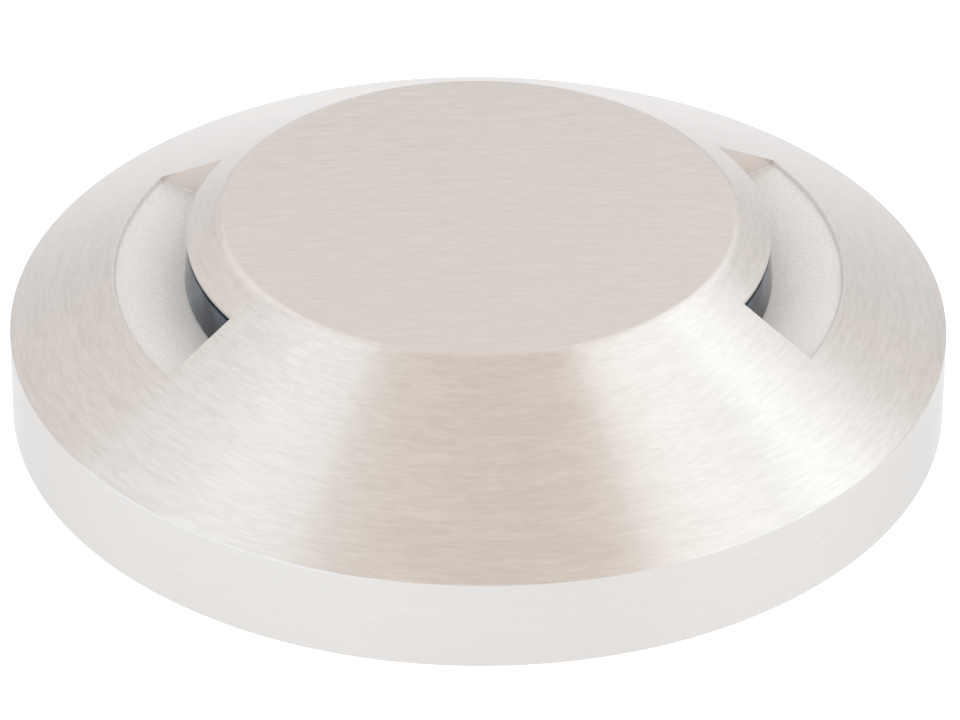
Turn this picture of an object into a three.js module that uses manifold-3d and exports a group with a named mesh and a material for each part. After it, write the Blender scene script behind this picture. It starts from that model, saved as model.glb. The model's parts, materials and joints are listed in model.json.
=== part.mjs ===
// Surface-mounted LED ground indicator light with two opposite side windows.
// A cast stainless cover in the shape of a low cone holds the lamp. The lamp turns onto a
// keyhole plate that is screwed to the ground.
// Millimetres, +Z up. The origin is the middle of the footprint, at ground level. The windows
// face +X and -X.
import * as THREE from "three";
import { mergeVertices } from "three/addons/utils/BufferGeometryUtils.js";
import Module from "manifold-3d";

const wasm = await Module();
wasm.setup();

// Clearances shared by every fit
const contactGap = 0.1; // between faces that lie on each other
const sideGap = 0.3; // round pegs, plates in their seats, lenses in their windows
const overrun = 2; // how far a cutting shape runs past what it cuts

// Cover: the outer form that the eye reads
const coverDiameter = 100;
const rimHeight = 10; // upright band at the foot of the cone
const coneRise = 12.9; // from the top of the rim to the flat top
const topDiameter = 55; // flat tread face
const topEdgeRound = 0.5;
const rimEdgeRound = 0.35;

// Cover: windows and the scooped recess in front of each
const windowHalfAngle = THREE.MathUtils.degToRad(30.6);
const windowHeight = 5.1; // from the sill to the lip
const windowLean = 0.4; // how far the foot of the window stands out from its lip
const lipRadius = 31; // knife edge over the window
const lipBand = 0.35; // metal left above the window at its lip
const recessOuterRadius = 38.95;
const recessStep = 0.45; // height of the step where the recess floor ends in the cone
const recessStepRun = 0.5; // width of that step

// Cover: inside
const windowWall = 3; // from the chamber to the lip
const sillWall = 2.2; // metal under the recess floor
const rimWall = 4.5;
const landWidth = 9.5; // shoulder that the base plate is screwed to
const groundGasketWidth = 2;
const groundGasketDepth = 1.2;

// Mounting plate: a pressed stainless dish with keyhole slots
const sheetThickness = 1.5;
const plateauClear = 2.7; // free height under the raised middle
const mountEdgeClear = 2.5; // from the edge of the plate to the inside of the rim
const footWidth = 8; // flat foot round the raised middle
const pressSlopeWidth = 2.5;
const cableHoleDiameter = 20;
const turnAngle = THREE.MathUtils.degToRad(22); // from locked to free
const studCount = 4;
const studFirstAngle = Math.PI / 4;
const keyholeMargin = 0.9; // metal between a keyhole and the foam ring
const fixingHoleCount = 3;
const fixingHoleDiameter = 4.5;
const fixingSinkDiameter = 7;

// Studs that hang in the keyholes
const studShankDiameter = 5;
const studHeadDiameter = 9;
const studHeadHeight = 1.4;
const studThreadDiameter = 4;
const studThreadLength = 4.6;
const studSocketWidth = 2.5;
const studSocketDepth = 0.8;

// Base plate, its seal and its screws
const basePlateThickness = 3.4;
const foamThickness = 0.6;
const foamWidth = 2.2;
const studBossDiameter = 9;
const studBossHeight = 2;
const sealInset = 2.25; // from the inner edge of the land to the middle of the seal
const sealGrooveWidth = 2.3;
const sealGrooveDepth = 1.7;
const sealSection = 1.6;
const baseScrewCount = 6;
const baseScrewFirstAngle = Math.PI / 6;
const baseScrewInset = 4; // from the inside of the rim to the middle of a screw
const baseScrewThreadDiameter = 3;
const baseScrewHeadDiameter = 5.6;
const baseScrewHeadHeight = 1.7;
const baseScrewReach = 3.3; // thread above the base plate
const baseScrewSocketWidth = 2;
const baseScrewSocketDepth = 1;

// Cable gland in the middle of the base plate
const cableBoreDiameter = 7;
const glandThreadDiameter = 12;
const glandBossDiameter = 18;
const glandBossHeight = 3.6;
const glandSealHeight = 2.6;
const glandSealWall = 1.9;
const glandWasherHeight = 0.8;
const glandNutReach = 2.4; // thread inside the base plate
const glandHexWidth = 14;
const glandHexHeight = 2.3;

// Heat spreader with its thermal pad and two screws
const padThickness = 0.5;
const spreaderWeb = 2;
const spreaderWall = 2.5;
const spreaderOverhang = 0.2; // past each end of the LED boards
const spreaderWallInset = 2.3; // a wall ends this far short of an LED board's end
const pillarDiameter = 4.8;
const pillarPitchX = 28;
const pillarInset = 8.5; // from the end of the driver board to the middle of a pillar
const bossClear = 0.2; // the pillars stand this much higher than the gland boss
const spreaderScrewPitch = 30;
const spreaderScrewHeadDiameter = 5.5;
const spreaderScrewHeadHeight = 1.6;
const spreaderScrewThreadDiameter = 3;
const spreaderScrewReach = 2.2; // thread inside the base plate

// Windows: lens, gasket, reflector and LED board
const lensSetback = 0.1; // lens face behind the lip
const lensFlange = 1.2;
const flangeHalfAngle = THREE.MathUtils.degToRad(34);
const flangeDrop = 1.4; // below the sill
const gasketThickness = 1;
const gasketTopThickness = 0.4;
const ledBoardLength = 23.6;
const ledBoardThickness = 1;
const ledBoardHeight = 6.6;
const ledCount = 3;
const ledPitch = 6.4;
const ledSize = 3.5;
const ledHeight = 0.9;
const ledDrop = 0.25; // from the middle of the window down to the LEDs
const reflectorLength = 19.6;
const reflectorHeight = 5;
const reflectorThroat = 4.5; // pocket width at the LED

// Driver board and what is soldered to it
const driverBoardWidth = 35;
const driverBoardLength = 32;
const driverBoardCorner = 5;
const driverBoardThickness = 1.6;
const wireHoleDiameter = 7;
const boardScrewHeadDiameter = 4.4;
const boardScrewHeadHeight = 1.3;
const boardScrewThreadDiameter = 2;
const boardScrewReach = 2; // thread inside the pillar and the web
const inductorDiameter = 7;
const inductorHeight = 3.8;
const inductorFlange = 0.7;
const inductorWaist = 0.8;
const capacitorDiameter = 6;
const capacitorHeight = 4;
const capacitorFoot = 0.6;
const capacitorGroove = 0.3;
const rectifierSize = { width: 5, length: 4, height: 2 };
const controllerSize = { width: 4, length: 5, height: 1.5 };
const controllerLead = { width: 0.8, length: 0.5, height: 0.3, pitch: 1.27 };
const surgeDiodeSize = { width: 2.6, length: 4.3, height: 2 };
const terminalSize = { width: 9, length: 5.5, height: 4 };
const terminalHole = 1.8;
const terminalPitch = 4;
const wireDiameter = 1;
const wireRise = 1.4;
const socketShare = 0.7; // hexagon across flats of a small screw, as a share of its thread
const rowShare = 0.66; // place of the outer rows, as a share of the half board
const leadStepShares = [-1.5, -0.5, 0.5, 1.5]; // chip leads, as shares of their pitch

// Facets round a full turn
const coverFacets = 72;
const plateFacets = 48;
const smallFacets = 12;
const edgeSteps = 1;
const wireSides = 8;
const wireSteps = 8;

// Sizes that follow from the ones above
const coverRadius = coverDiameter / 2;
const topRadius = topDiameter / 2;
const coverHeight = rimHeight + coneRise;
const coneHeightAt = (radius) =>
  rimHeight + (coneRise * (coverRadius - radius)) / (coverRadius - topRadius);
const windowTop = coneHeightAt(lipRadius) - lipBand;
const sillHeight = windowTop - windowHeight;
const chamberRadius = lipRadius - windowWall;
const lowerRoof = sillHeight - sillWall;
const seatRadius = coverRadius - rimWall;
const landRadius = seatRadius - landWidth;
const mountRadius = seatRadius - mountEdgeClear;
const plateauTop = plateauClear + sheetThickness;
const plateauRadius = mountRadius - footWidth - pressSlopeWidth;
const foamOuter = plateauRadius - sideGap;
const foamInner = foamOuter - foamWidth;
const keyEntryRadius = studHeadDiameter / 2 + 2 * sideGap;
const keySlotRadius = studShankDiameter / 2 + sideGap;
const studCircle = foamInner - keyholeMargin - keyEntryRadius;
const sealCentre = landRadius + sealInset;
const screwRing = seatRadius - baseScrewInset;
const foamTop = plateauTop + contactGap + foamThickness;
const baseBottom = foamTop + contactGap;
const baseTop = baseBottom + basePlateThickness;
const seatHeight = baseTop + contactGap;
const padTop = baseTop + contactGap + padThickness;
const webBottom = padTop + contactGap;
const webTop = webBottom + spreaderWeb;
const pillarTop = baseTop + glandBossHeight + bossClear;
const driverBottom = pillarTop + contactGap;
const driverTop = driverBottom + driverBoardThickness;
const partBottom = driverTop + contactGap;
const gasketOuter = chamberRadius - contactGap;
const flangeOuter = gasketOuter - gasketThickness - contactGap;
const flangeInner = flangeOuter - lensFlange;
const lensTop = windowTop - gasketTopThickness - 2 * contactGap;
const flangeBottom = sillHeight - flangeDrop;
const lensHalfAngle = windowHalfAngle - sideGap / lipRadius;
const ledBoardFace = Math.sqrt((flangeInner - sideGap) ** 2 - (ledBoardLength / 2) ** 2);
const ledBoardBack = ledBoardFace - ledBoardThickness;
const spreaderHalfWidth = ledBoardBack - contactGap;
const spreaderLength = ledBoardLength + 2 * spreaderOverhang;
const spreaderWallLength = ledBoardLength - 2 * spreaderWallInset;
const pillarRow = driverBoardLength / 2 - pillarInset;
const ledBoardTop = windowTop - sideGap;
const spreaderTop = ledBoardTop - sideGap;
const ledLevel = (sillHeight + windowTop) / 2 - ledDrop;

const steel = (name) =>
  new THREE.MeshStandardMaterial({ name, color: 0xcfcac5, roughness: 0.35, metalness: 1 });
const materials = {
  coverSteel: steel("brushed_stainless"),
  plateSteel: steel("plain_stainless"),
  aluminium: new THREE.MeshStandardMaterial({ color: 0xb9bcc0, roughness: 0.5, metalness: 1 }),
  lens: new THREE.MeshStandardMaterial({ color: 0x565b62, roughness: 0.1, metalness: 0 }),
  rubber: new THREE.MeshStandardMaterial({ color: 0x1d1e20, roughness: 0.8, metalness: 0 }),
  foam: new THREE.MeshStandardMaterial({ color: 0x2a2b2d, roughness: 0.95, metalness: 0 }),
  chrome: new THREE.MeshStandardMaterial({ color: 0xdadde0, roughness: 0.15, metalness: 1 }),
  whiteBoard: new THREE.MeshStandardMaterial({ color: 0xe8e8e2, roughness: 0.6, metalness: 0 }),
  greenBoard: new THREE.MeshStandardMaterial({ color: 0x1f5a36, roughness: 0.5, metalness: 0 }),
  phosphor: new THREE.MeshStandardMaterial({ color: 0xe6c84a, roughness: 0.5, metalness: 0 }),
  ferrite: new THREE.MeshStandardMaterial({ color: 0x35373a, roughness: 0.7, metalness: 0 }),
  can: new THREE.MeshStandardMaterial({ color: 0xc4c6c8, roughness: 0.35, metalness: 1 }),
  epoxy: new THREE.MeshStandardMaterial({ color: 0x18191b, roughness: 0.5, metalness: 0 }),
  terminal: new THREE.MeshStandardMaterial({ color: 0x8d9196, roughness: 0.5, metalness: 0 }),
  pad: new THREE.MeshStandardMaterial({ color: 0x8fa3b5, roughness: 0.8, metalness: 0 }),
  redWire: new THREE.MeshStandardMaterial({ color: 0xa32020, roughness: 0.5, metalness: 0 }),
  blackWire: new THREE.MeshStandardMaterial({ color: 0x202124, roughness: 0.5, metalness: 0 }),
};

// Geometry to solid and back. Triangles that collapse in the merge are left out.
function solid(geometry) {
  const bare = new THREE.BufferGeometry();
  bare.setAttribute("position", geometry.getAttribute("position"));
  if (geometry.index) bare.setIndex(geometry.index);
  const merged = mergeVertices(bare);
  const triangles = [];
  for (let i = 0; i < merged.index.count; i += 3) {
    const [a, b, c] = [0, 1, 2].map((k) => merged.index.getX(i + k));
    if (a !== b && b !== c && c !== a) triangles.push(a, b, c);
  }
  const vertProperties = merged.attributes.position.array;
  const triVerts = new Uint32Array(triangles);
  return new wasm.Manifold(new wasm.Mesh({ numProp: 3, vertProperties, triVerts }));
}

function geometryOf(body) {
  const mesh = body.getMesh();
  const geometry = new THREE.BufferGeometry();
  const positions = new Float32Array(mesh.numVert * 3);
  for (let i = 0; i < mesh.numVert; i += 1) {
    for (let k = 0; k < 3; k += 1) {
      positions[i * 3 + k] = mesh.vertProperties[i * mesh.numProp + k];
    }
  }
  geometry.setAttribute("position", new THREE.BufferAttribute(positions, 3));
  geometry.setIndex(new THREE.BufferAttribute(mesh.triVerts, 1));
  geometry.computeVertexNormals();
  return geometry;
}

const cut = (body, ...tools) => tools.reduce((rest, tool) => rest.subtract(tool), body);
const join = (...bodies) => bodies.reduce((whole, body) => whole.add(body));

// An outline of [radius, height] points, up its outer side, turned round the Z axis
function turned(outline, facets = plateFacets) {
  const closed = outline[0][0] === 0 ? outline : [...outline, outline[0]];
  const points = closed.map(([radius, height]) => new THREE.Vector2(radius, height));
  return solid(new THREE.LatheGeometry(points, facets).rotateX(Math.PI / 2));
}

const tube = (inner, outer, bottom, top, facets) =>
  turned(
    [
      [inner, bottom],
      [outer, bottom],
      [outer, top],
      [inner, top],
    ],
    facets,
  );

const rod = (radius, bottom, top, facets = smallFacets) =>
  turned(
    [
      [0, bottom],
      [radius, bottom],
      [radius, top],
      [0, top],
    ],
    facets,
  );

function prism(shape, bottom, top, curveSegments = smallFacets) {
  const depth = top - bottom;
  const options = { depth, bevelEnabled: false, curveSegments };
  return solid(new THREE.ExtrudeGeometry(shape, options).translate(0, 0, bottom));
}

function block(width, length, bottom, top) {
  const box = new THREE.BoxGeometry(width, length, top - bottom);
  return solid(box.translate(0, 0, (bottom + top) / 2));
}

// A pie slice about +X, wide enough to take everything out to the reach
function slice(halfAngle, reach, bottom, top) {
  const edge = reach / Math.cos(halfAngle);
  const shape = new THREE.Shape();
  shape.moveTo(0, 0);
  shape.lineTo(edge * Math.cos(-halfAngle), edge * Math.sin(-halfAngle));
  shape.lineTo(edge, 0);
  shape.lineTo(edge * Math.cos(halfAngle), edge * Math.sin(halfAngle));
  return prism(shape, bottom, top);
}

function hexPrism(acrossFlats, bottom, top) {
  const corner = acrossFlats / Math.sqrt(3);
  return rod(corner, bottom, top, 6);
}

const polar = (radius, angle) => [radius * Math.cos(angle), radius * Math.sin(angle)];
const ringAngles = (count, first = 0) =>
  Array.from({ length: count }, (_, i) => first + (i * 2 * Math.PI) / count);
const moved = (body, [x, y], z = 0) => body.translate([x, y, z]);
const degrees = THREE.MathUtils.radToDeg;

const lamp = new THREE.Group();
const ground = new THREE.Group();
const light = new THREE.Group();
light.add(ground, lamp);

function place(group, name, body, material) {
  const mesh = new THREE.Mesh(geometryOf(body), material);
  mesh.name = name;
  group.add(mesh);
  return mesh;
}

// Cover: a hollow cone with a rounded tread edge and rim edges
function arcPoints(centre, radius, from, to) {
  return Array.from({ length: edgeSteps + 1 }, (_, i) => {
    const angle = from + ((to - from) * i) / edgeSteps;
    return [centre[0] + radius * Math.cos(angle), centre[1] + radius * Math.sin(angle)];
  });
}

function makeCover() {
  const slope = Math.atan2(coneRise, coverRadius - topRadius);
  // Each rounding touches both of its faces, so its centre lies back from the edge by this much.
  const topBack = topEdgeRound * Math.tan(slope / 2);
  const rimBack = rimEdgeRound * Math.tan((Math.PI / 2 - slope) / 2);
  const normalAngle = Math.PI / 2 - slope;
  const rimCentre = [coverRadius - rimEdgeRound, rimHeight - rimBack];
  const topCentre = [topRadius - topBack, coverHeight - topEdgeRound];
  const footCentre = [coverRadius - rimEdgeRound, rimEdgeRound];
  const shell = turned(
    [
      [0, windowTop],
      [chamberRadius, windowTop],
      [chamberRadius, lowerRoof],
      [landRadius, lowerRoof],
      [landRadius, seatHeight],
      [seatRadius, seatHeight],
      [seatRadius, 0],
      ...arcPoints(footCentre, rimEdgeRound, -Math.PI / 2, 0),
      ...arcPoints(rimCentre, rimEdgeRound, 0, normalAngle),
      ...arcPoints(topCentre, topEdgeRound, normalAngle, Math.PI / 2),
      [0, coverHeight],
    ],
    coverFacets,
  );
  const above = coverHeight + overrun;
  const recessEdge = coneHeightAt(recessOuterRadius);
  // One ring cuts the recess and the window behind it, between two radial end walls. Its sloped
  // outer face runs on above the cone.
  const scoopRing = turned(
    [
      [chamberRadius - overrun, sillHeight],
      [lipRadius + windowLean, sillHeight],
      [recessOuterRadius - recessStepRun, recessEdge - recessStep],
      [recessOuterRadius + recessStepRun, recessEdge + recessStep],
      [recessOuterRadius + recessStepRun, above],
      [lipRadius, above],
      [lipRadius, windowTop],
      [chamberRadius - overrun, windowTop],
    ],
    coverFacets,
  );
  const scoop = scoopRing.intersect(slice(windowHalfAngle, coverRadius, lowerRoof, above));
  const screwHoles = ringAngles(baseScrewCount, baseScrewFirstAngle).map((angle) =>
    moved(
      rod(
        baseScrewThreadDiameter / 2 + sideGap,
        seatHeight - overrun,
        baseTop + baseScrewReach + sideGap,
      ),
      polar(screwRing, angle),
    ),
  );
  return cut(shell, scoop, scoop.rotate([0, 0, 180]), gasketGroove(), ...screwHoles);
}

// The foot gasket lies in a groove in the middle of the rim's underside
const groundGasketRadius = coverRadius - rimWall / 2;

function gasketGroove() {
  const half = groundGasketWidth / 2 + contactGap;
  const top = groundGasketDepth + contactGap;
  return tube(groundGasketRadius - half, groundGasketRadius + half, -overrun, top, coverFacets);
}

place(lamp, "cover", makeCover(), materials.coverSteel);
place(
  lamp,
  "ground_gasket",
  tube(
    groundGasketRadius - groundGasketWidth / 2,
    groundGasketRadius + groundGasketWidth / 2,
    0,
    groundGasketDepth,
    coverFacets,
  ),
  materials.rubber,
);

// Mounting plate
function keyhole(angle) {
  const entry = moved(
    rod(keyEntryRadius, -overrun, plateauTop + overrun, plateFacets / 2),
    polar(studCircle, turnAngle),
  );
  const track = new THREE.Shape();
  track.absarc(0, 0, studCircle + keySlotRadius, 0, turnAngle, false);
  track.absarc(0, 0, studCircle - keySlotRadius, turnAngle, 0, true);
  const end = moved(rod(keySlotRadius, -overrun, plateauTop + overrun), polar(studCircle, 0));
  const slot = prism(track, -overrun, plateauTop + overrun, smallFacets / 2);
  return join(entry, slot, end).rotate([0, 0, degrees(angle)]);
}

function fixingHole(angle) {
  const half = fixingHoleDiameter / 2;
  const sink = fixingSinkDiameter / 2;
  const depth = sink - half;
  const hole = turned(
    [
      [0, -overrun],
      [half, -overrun],
      [half, sheetThickness - depth],
      [sink, sheetThickness],
      [sink, sheetThickness + overrun],
      [0, sheetThickness + overrun],
    ],
    smallFacets,
  );
  return moved(hole, polar(mountRadius - footWidth / 2, angle));
}

function makeMountingPlate() {
  const hole = cableHoleDiameter / 2;
  const dish = turned([
    [hole, plateauClear],
    [plateauRadius - sheetThickness / 2, plateauClear],
    [mountRadius - footWidth - sheetThickness / 2, 0],
    [mountRadius, 0],
    [mountRadius, sheetThickness],
    [mountRadius - footWidth, sheetThickness],
    [plateauRadius, plateauTop],
    [hole, plateauTop],
  ]);
  const keyholes = ringAngles(studCount, studFirstAngle).map(keyhole);
  const fixings = ringAngles(fixingHoleCount, Math.PI / 2).map(fixingHole);
  return cut(dish, ...keyholes, ...fixings);
}

place(ground, "mounting_plate", makeMountingPlate(), materials.plateSteel);

// Studs: shouldered, screwed up into blind bosses of the base plate
const studHeadTop = plateauClear - sideGap;

function makeStud() {
  const head = studHeadDiameter / 2;
  const shank = studShankDiameter / 2;
  const thread = studThreadDiameter / 2;
  const bottom = studHeadTop - studHeadHeight;
  const stud = turned(
    [
      [0, bottom],
      [head, bottom],
      [head, studHeadTop],
      [shank, studHeadTop],
      [shank, baseBottom - contactGap],
      [thread, baseBottom - contactGap],
      [thread, baseBottom + studThreadLength],
      [0, baseBottom + studThreadLength],
    ],
    smallFacets,
  );
  return cut(stud, hexPrism(studSocketWidth, bottom - overrun, bottom + studSocketDepth));
}

ringAngles(studCount, studFirstAngle).forEach((angle, i) => {
  const name = `keyhole_stud_${i + 1}`;
  place(lamp, name, moved(makeStud(), polar(studCircle, angle)), materials.plateSteel);
});

// A countersunk screw and the hole for it, with the head's face at level 0 and the thread above
function sunkScrew(headDiameter, headHeight, threadDiameter, length, socketWidth, socketDepth) {
  const head = headDiameter / 2;
  const thread = threadDiameter / 2;
  const screw = turned(
    [
      [0, 0],
      [head, 0],
      [thread, headHeight],
      [thread, length],
      [0, length],
    ],
    smallFacets,
  );
  return cut(screw, hexPrism(socketWidth, -overrun, socketDepth));
}

function sunkHole(headDiameter, headHeight, threadDiameter, depth) {
  const head = headDiameter / 2 + sideGap;
  const thread = threadDiameter / 2 + sideGap;
  return turned(
    [
      [0, -overrun],
      [head, -overrun],
      [head, 0],
      [thread, headHeight],
      [thread, depth + overrun],
      [0, depth + overrun],
    ],
    smallFacets,
  );
}

// Base plate
const glandThread = glandThreadDiameter / 2;
const cableBore = cableBoreDiameter / 2;
const glandFloor = baseBottom + glandNutReach + glandWasherHeight + glandSealHeight + 3 * contactGap;
const spreaderScrewPlaces = [1, -1].map((side) => [(side * spreaderScrewPitch) / 2, 0]);

function makeBasePlate() {
  const edge = seatRadius - sideGap;
  const half = sealGrooveWidth / 2;
  const plate = turned([
    [cableBore, glandFloor],
    [glandThread + sideGap, glandFloor],
    [glandThread + sideGap, baseBottom],
    [edge, baseBottom],
    [edge, baseTop],
    [sealCentre + half, baseTop],
    [sealCentre + half, baseTop - sealGrooveDepth],
    [sealCentre - half, baseTop - sealGrooveDepth],
    [sealCentre - half, baseTop],
    [glandBossDiameter / 2, baseTop],
    [glandBossDiameter / 2, baseTop + glandBossHeight],
    [cableBore, baseTop + glandBossHeight],
  ]);
  const studAngles = ringAngles(studCount, studFirstAngle);
  const bosses = studAngles.map((angle) =>
    moved(
      rod(studBossDiameter / 2, baseTop - contactGap, baseTop + studBossHeight),
      polar(studCircle, angle),
    ),
  );
  const threadTop = baseBottom + studThreadLength + sideGap;
  const studHoles = studAngles.map((angle) =>
    moved(
      rod(studThreadDiameter / 2 + sideGap, baseBottom - overrun, threadTop),
      polar(studCircle, angle),
    ),
  );
  const spreaderHole = rod(
    spreaderScrewThreadDiameter / 2 + sideGap,
    baseTop - spreaderScrewReach - sideGap,
    baseTop + overrun,
  );
  const spreaderHoles = spreaderScrewPlaces.map((spot) => moved(spreaderHole, spot));
  const sink = sunkHole(
    baseScrewHeadDiameter,
    baseScrewHeadHeight,
    baseScrewThreadDiameter,
    basePlateThickness,
  );
  const sinks = ringAngles(baseScrewCount, baseScrewFirstAngle).map((angle) =>
    moved(sink, polar(screwRing, angle), baseBottom),
  );
  return cut(join(plate, ...bosses), ...studHoles, ...spreaderHoles, ...sinks);
}

place(lamp, "base_plate", makeBasePlate(), materials.aluminium);

function makeFaceSeal() {
  const radius = sealSection / 2;
  const centre = baseTop - sealGrooveDepth + radius + contactGap;
  const torus = new THREE.TorusGeometry(sealCentre, radius, smallFacets / 2, plateFacets);
  return moved(solid(torus), [0, 0], centre);
}

place(lamp, "face_seal", makeFaceSeal(), materials.rubber);

place(
  lamp,
  "anti_rattle_ring",
  tube(foamInner, foamOuter, plateauTop + contactGap, foamTop, plateFacets),
  materials.foam,
);

const baseScrew = sunkScrew(
  baseScrewHeadDiameter,
  baseScrewHeadHeight,
  baseScrewThreadDiameter,
  basePlateThickness + baseScrewReach,
  baseScrewSocketWidth,
  baseScrewSocketDepth,
);
ringAngles(baseScrewCount, baseScrewFirstAngle).forEach((angle, i) => {
  const screw = moved(baseScrew, polar(screwRing, angle), baseBottom);
  place(lamp, `base_screw_${i + 1}`, screw, materials.plateSteel);
});

// Cable gland: a hollow screw squeezes a rubber ring round the cable
const glandBore = glandThread - contactGap;
const sealTop = glandFloor - contactGap;
const sealBottom = sealTop - glandSealHeight;
const washerTop = sealBottom - contactGap;
const washerBottom = washerTop - glandWasherHeight;
const nutTop = washerBottom - contactGap;
place(
  lamp,
  "gland_seal",
  tube(glandBore - glandSealWall, glandBore, sealBottom, sealTop, plateFacets / 2),
  materials.rubber,
);
place(
  lamp,
  "gland_washer",
  tube(cableBore, glandBore, washerBottom, washerTop, plateFacets / 2),
  materials.plateSteel,
);

function makeGlandNut() {
  const flangeTop = baseBottom - contactGap;
  const thread = rod(glandBore, flangeTop - contactGap, nutTop, plateFacets / 2);
  const hex = hexPrism(glandHexWidth, flangeTop - glandHexHeight, flangeTop);
  const bore = rod(cableBore, flangeTop - glandHexHeight - overrun, nutTop + overrun, plateFacets / 2);
  return cut(join(thread, hex), bore);
}

place(lamp, "gland_nut", makeGlandNut(), materials.plateSteel);

// Heat spreader on its thermal pad
const glandBossHole = glandBossDiameter / 2 + sideGap;
const screwHole = spreaderScrewThreadDiameter / 2 + sideGap;

const corners = [1, -1].flatMap((sx) => [1, -1].map((sy) => [sx, sy]));
const pillarPlaces = corners.map(([sx, sy]) => [(sx * pillarPitchX) / 2, sy * pillarRow]);

// Room for the stud bosses, where the studs stand close to the pad and the spreader
const studBossRoom = rod(
  studBossDiameter / 2 + sideGap,
  baseTop - overrun,
  baseTop + studBossHeight + sideGap,
);
const studBossRooms = ringAngles(studCount, studFirstAngle).map((angle) =>
  moved(studBossRoom, polar(studCircle, angle)),
);

function makePad() {
  const bottom = baseTop + contactGap;
  const sheet = block(2 * spreaderHalfWidth, spreaderLength, bottom, padTop);
  const hole = rod(glandBossHole, bottom - overrun, padTop + overrun, plateFacets / 2);
  const holes = spreaderScrewPlaces.map((spot) =>
    moved(rod(screwHole, bottom - overrun, padTop + overrun), spot),
  );
  return cut(sheet, hole, ...holes, ...studBossRooms);
}

place(lamp, "thermal_pad", makePad(), materials.pad);

function makeSpreader() {
  const web = block(2 * spreaderHalfWidth, spreaderLength, webBottom, webTop);
  const wall = block(spreaderWall, spreaderWallLength, webTop - contactGap, spreaderTop);
  const walls = [1, -1].map((side) => moved(wall, [side * (spreaderHalfWidth - spreaderWall / 2), 0]));
  const pillar = rod(pillarDiameter / 2, webTop - contactGap, pillarTop);
  const pillars = pillarPlaces.map((spot) => moved(pillar, spot));
  const bossHole = rod(glandBossHole, webBottom - overrun, webTop + overrun, plateFacets / 2);
  const sink = sunkHole(
    spreaderScrewHeadDiameter,
    spreaderScrewHeadHeight,
    spreaderScrewThreadDiameter,
    spreaderWeb,
  ).rotate([180, 0, 0]);
  const pillarHole = rod(
    boardScrewThreadDiameter / 2 + sideGap,
    pillarTop - boardScrewReach - sideGap,
    pillarTop + overrun,
  );
  return cut(
    join(web, ...walls, ...pillars),
    bossHole,
    ...spreaderScrewPlaces.map((spot) => moved(sink, spot, webTop)),
    ...pillarPlaces.map((spot) => moved(pillarHole, spot)),
    ...studBossRooms,
  );
}

place(lamp, "heat_spreader", makeSpreader(), materials.aluminium);

const spreaderScrew = sunkScrew(
  spreaderScrewHeadDiameter,
  spreaderScrewHeadHeight,
  spreaderScrewThreadDiameter,
  webTop - baseTop + spreaderScrewReach,
  spreaderScrewThreadDiameter * socketShare,
  spreaderScrewHeadHeight / 2,
).rotate([180, 0, 0]);
spreaderScrewPlaces.forEach((spot, i) => {
  const screw = moved(spreaderScrew, spot, webTop);
  place(lamp, `spreader_screw_${i + 1}`, screw, materials.plateSteel);
});

// Driver board
function roundedRectangle(width, length, corner) {
  const shape = new THREE.Shape();
  const [x, y] = [width / 2, length / 2];
  shape.moveTo(corner - x, -y);
  shape.absarc(x - corner, corner - y, corner, -Math.PI / 2, 0, false);
  shape.absarc(x - corner, y - corner, corner, 0, Math.PI / 2, false);
  shape.absarc(corner - x, y - corner, corner, Math.PI / 2, Math.PI, false);
  shape.absarc(corner - x, corner - y, corner, Math.PI, 1.5 * Math.PI, false);
  return shape;
}

function makeDriverBoard() {
  const outline = roundedRectangle(driverBoardWidth, driverBoardLength, driverBoardCorner);
  const board = prism(outline, driverBottom, driverTop, smallFacets / 4);
  const wireHole = rod(wireHoleDiameter / 2, driverBottom - overrun, driverTop + overrun);
  const screwRadius = boardScrewThreadDiameter / 2 + sideGap;
  const holes = pillarPlaces.map((spot) =>
    moved(rod(screwRadius, driverBottom - overrun, driverTop + overrun), spot),
  );
  return cut(board, wireHole, ...holes);
}

place(lamp, "driver_board", makeDriverBoard(), materials.greenBoard);

// A pan-head screw stands on the board above each pillar
function makeBoardScrew() {
  const head = boardScrewHeadDiameter / 2;
  const thread = boardScrewThreadDiameter / 2;
  const bottom = driverTop + contactGap;
  const shoulder = bottom + boardScrewHeadHeight / 2;
  const top = bottom + boardScrewHeadHeight;
  const screw = turned(
    [
      [0, pillarTop - boardScrewReach],
      [thread, pillarTop - boardScrewReach],
      [thread, bottom],
      [head, bottom],
      [head, shoulder],
      [head - boardScrewHeadHeight / 2, top],
      [0, top],
    ],
    smallFacets,
  );
  const socketWidth = boardScrewThreadDiameter * socketShare;
  return cut(screw, hexPrism(socketWidth, shoulder, top + overrun));
}

pillarPlaces.forEach((spot, i) => {
  place(lamp, `board_screw_${i + 1}`, moved(makeBoardScrew(), spot), materials.plateSteel);
});

// Parts on the board stand in two rows on either side of the wire hole
const outerRow = (rowShare * driverBoardLength) / 2;
const sideRow = pillarPitchX / 4 + wireHoleDiameter / 4;

function makeInductor() {
  const rim = inductorDiameter / 2;
  const waist = rim - inductorWaist;
  const top = partBottom + inductorHeight;
  return turned(
    [
      [0, partBottom],
      [rim, partBottom],
      [rim, partBottom + inductorFlange],
      [waist, partBottom + inductorFlange],
      [waist, top - inductorFlange],
      [rim, top - inductorFlange],
      [rim, top],
      [0, top],
    ],
    smallFacets,
  );
}

function makeCapacitor() {
  const can = capacitorDiameter / 2;
  const neck = can - capacitorGroove;
  const foot = partBottom + capacitorFoot;
  return turned(
    [
      [0, partBottom],
      [can, partBottom],
      [can, foot],
      [neck, foot + capacitorGroove],
      [can, foot + 2 * capacitorGroove],
      [can, partBottom + capacitorHeight - capacitorGroove],
      [neck, partBottom + capacitorHeight],
      [0, partBottom + capacitorHeight],
    ],
    smallFacets,
  );
}

const brick = ({ width, length, height }) => block(width, length, partBottom, partBottom + height);

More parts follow.
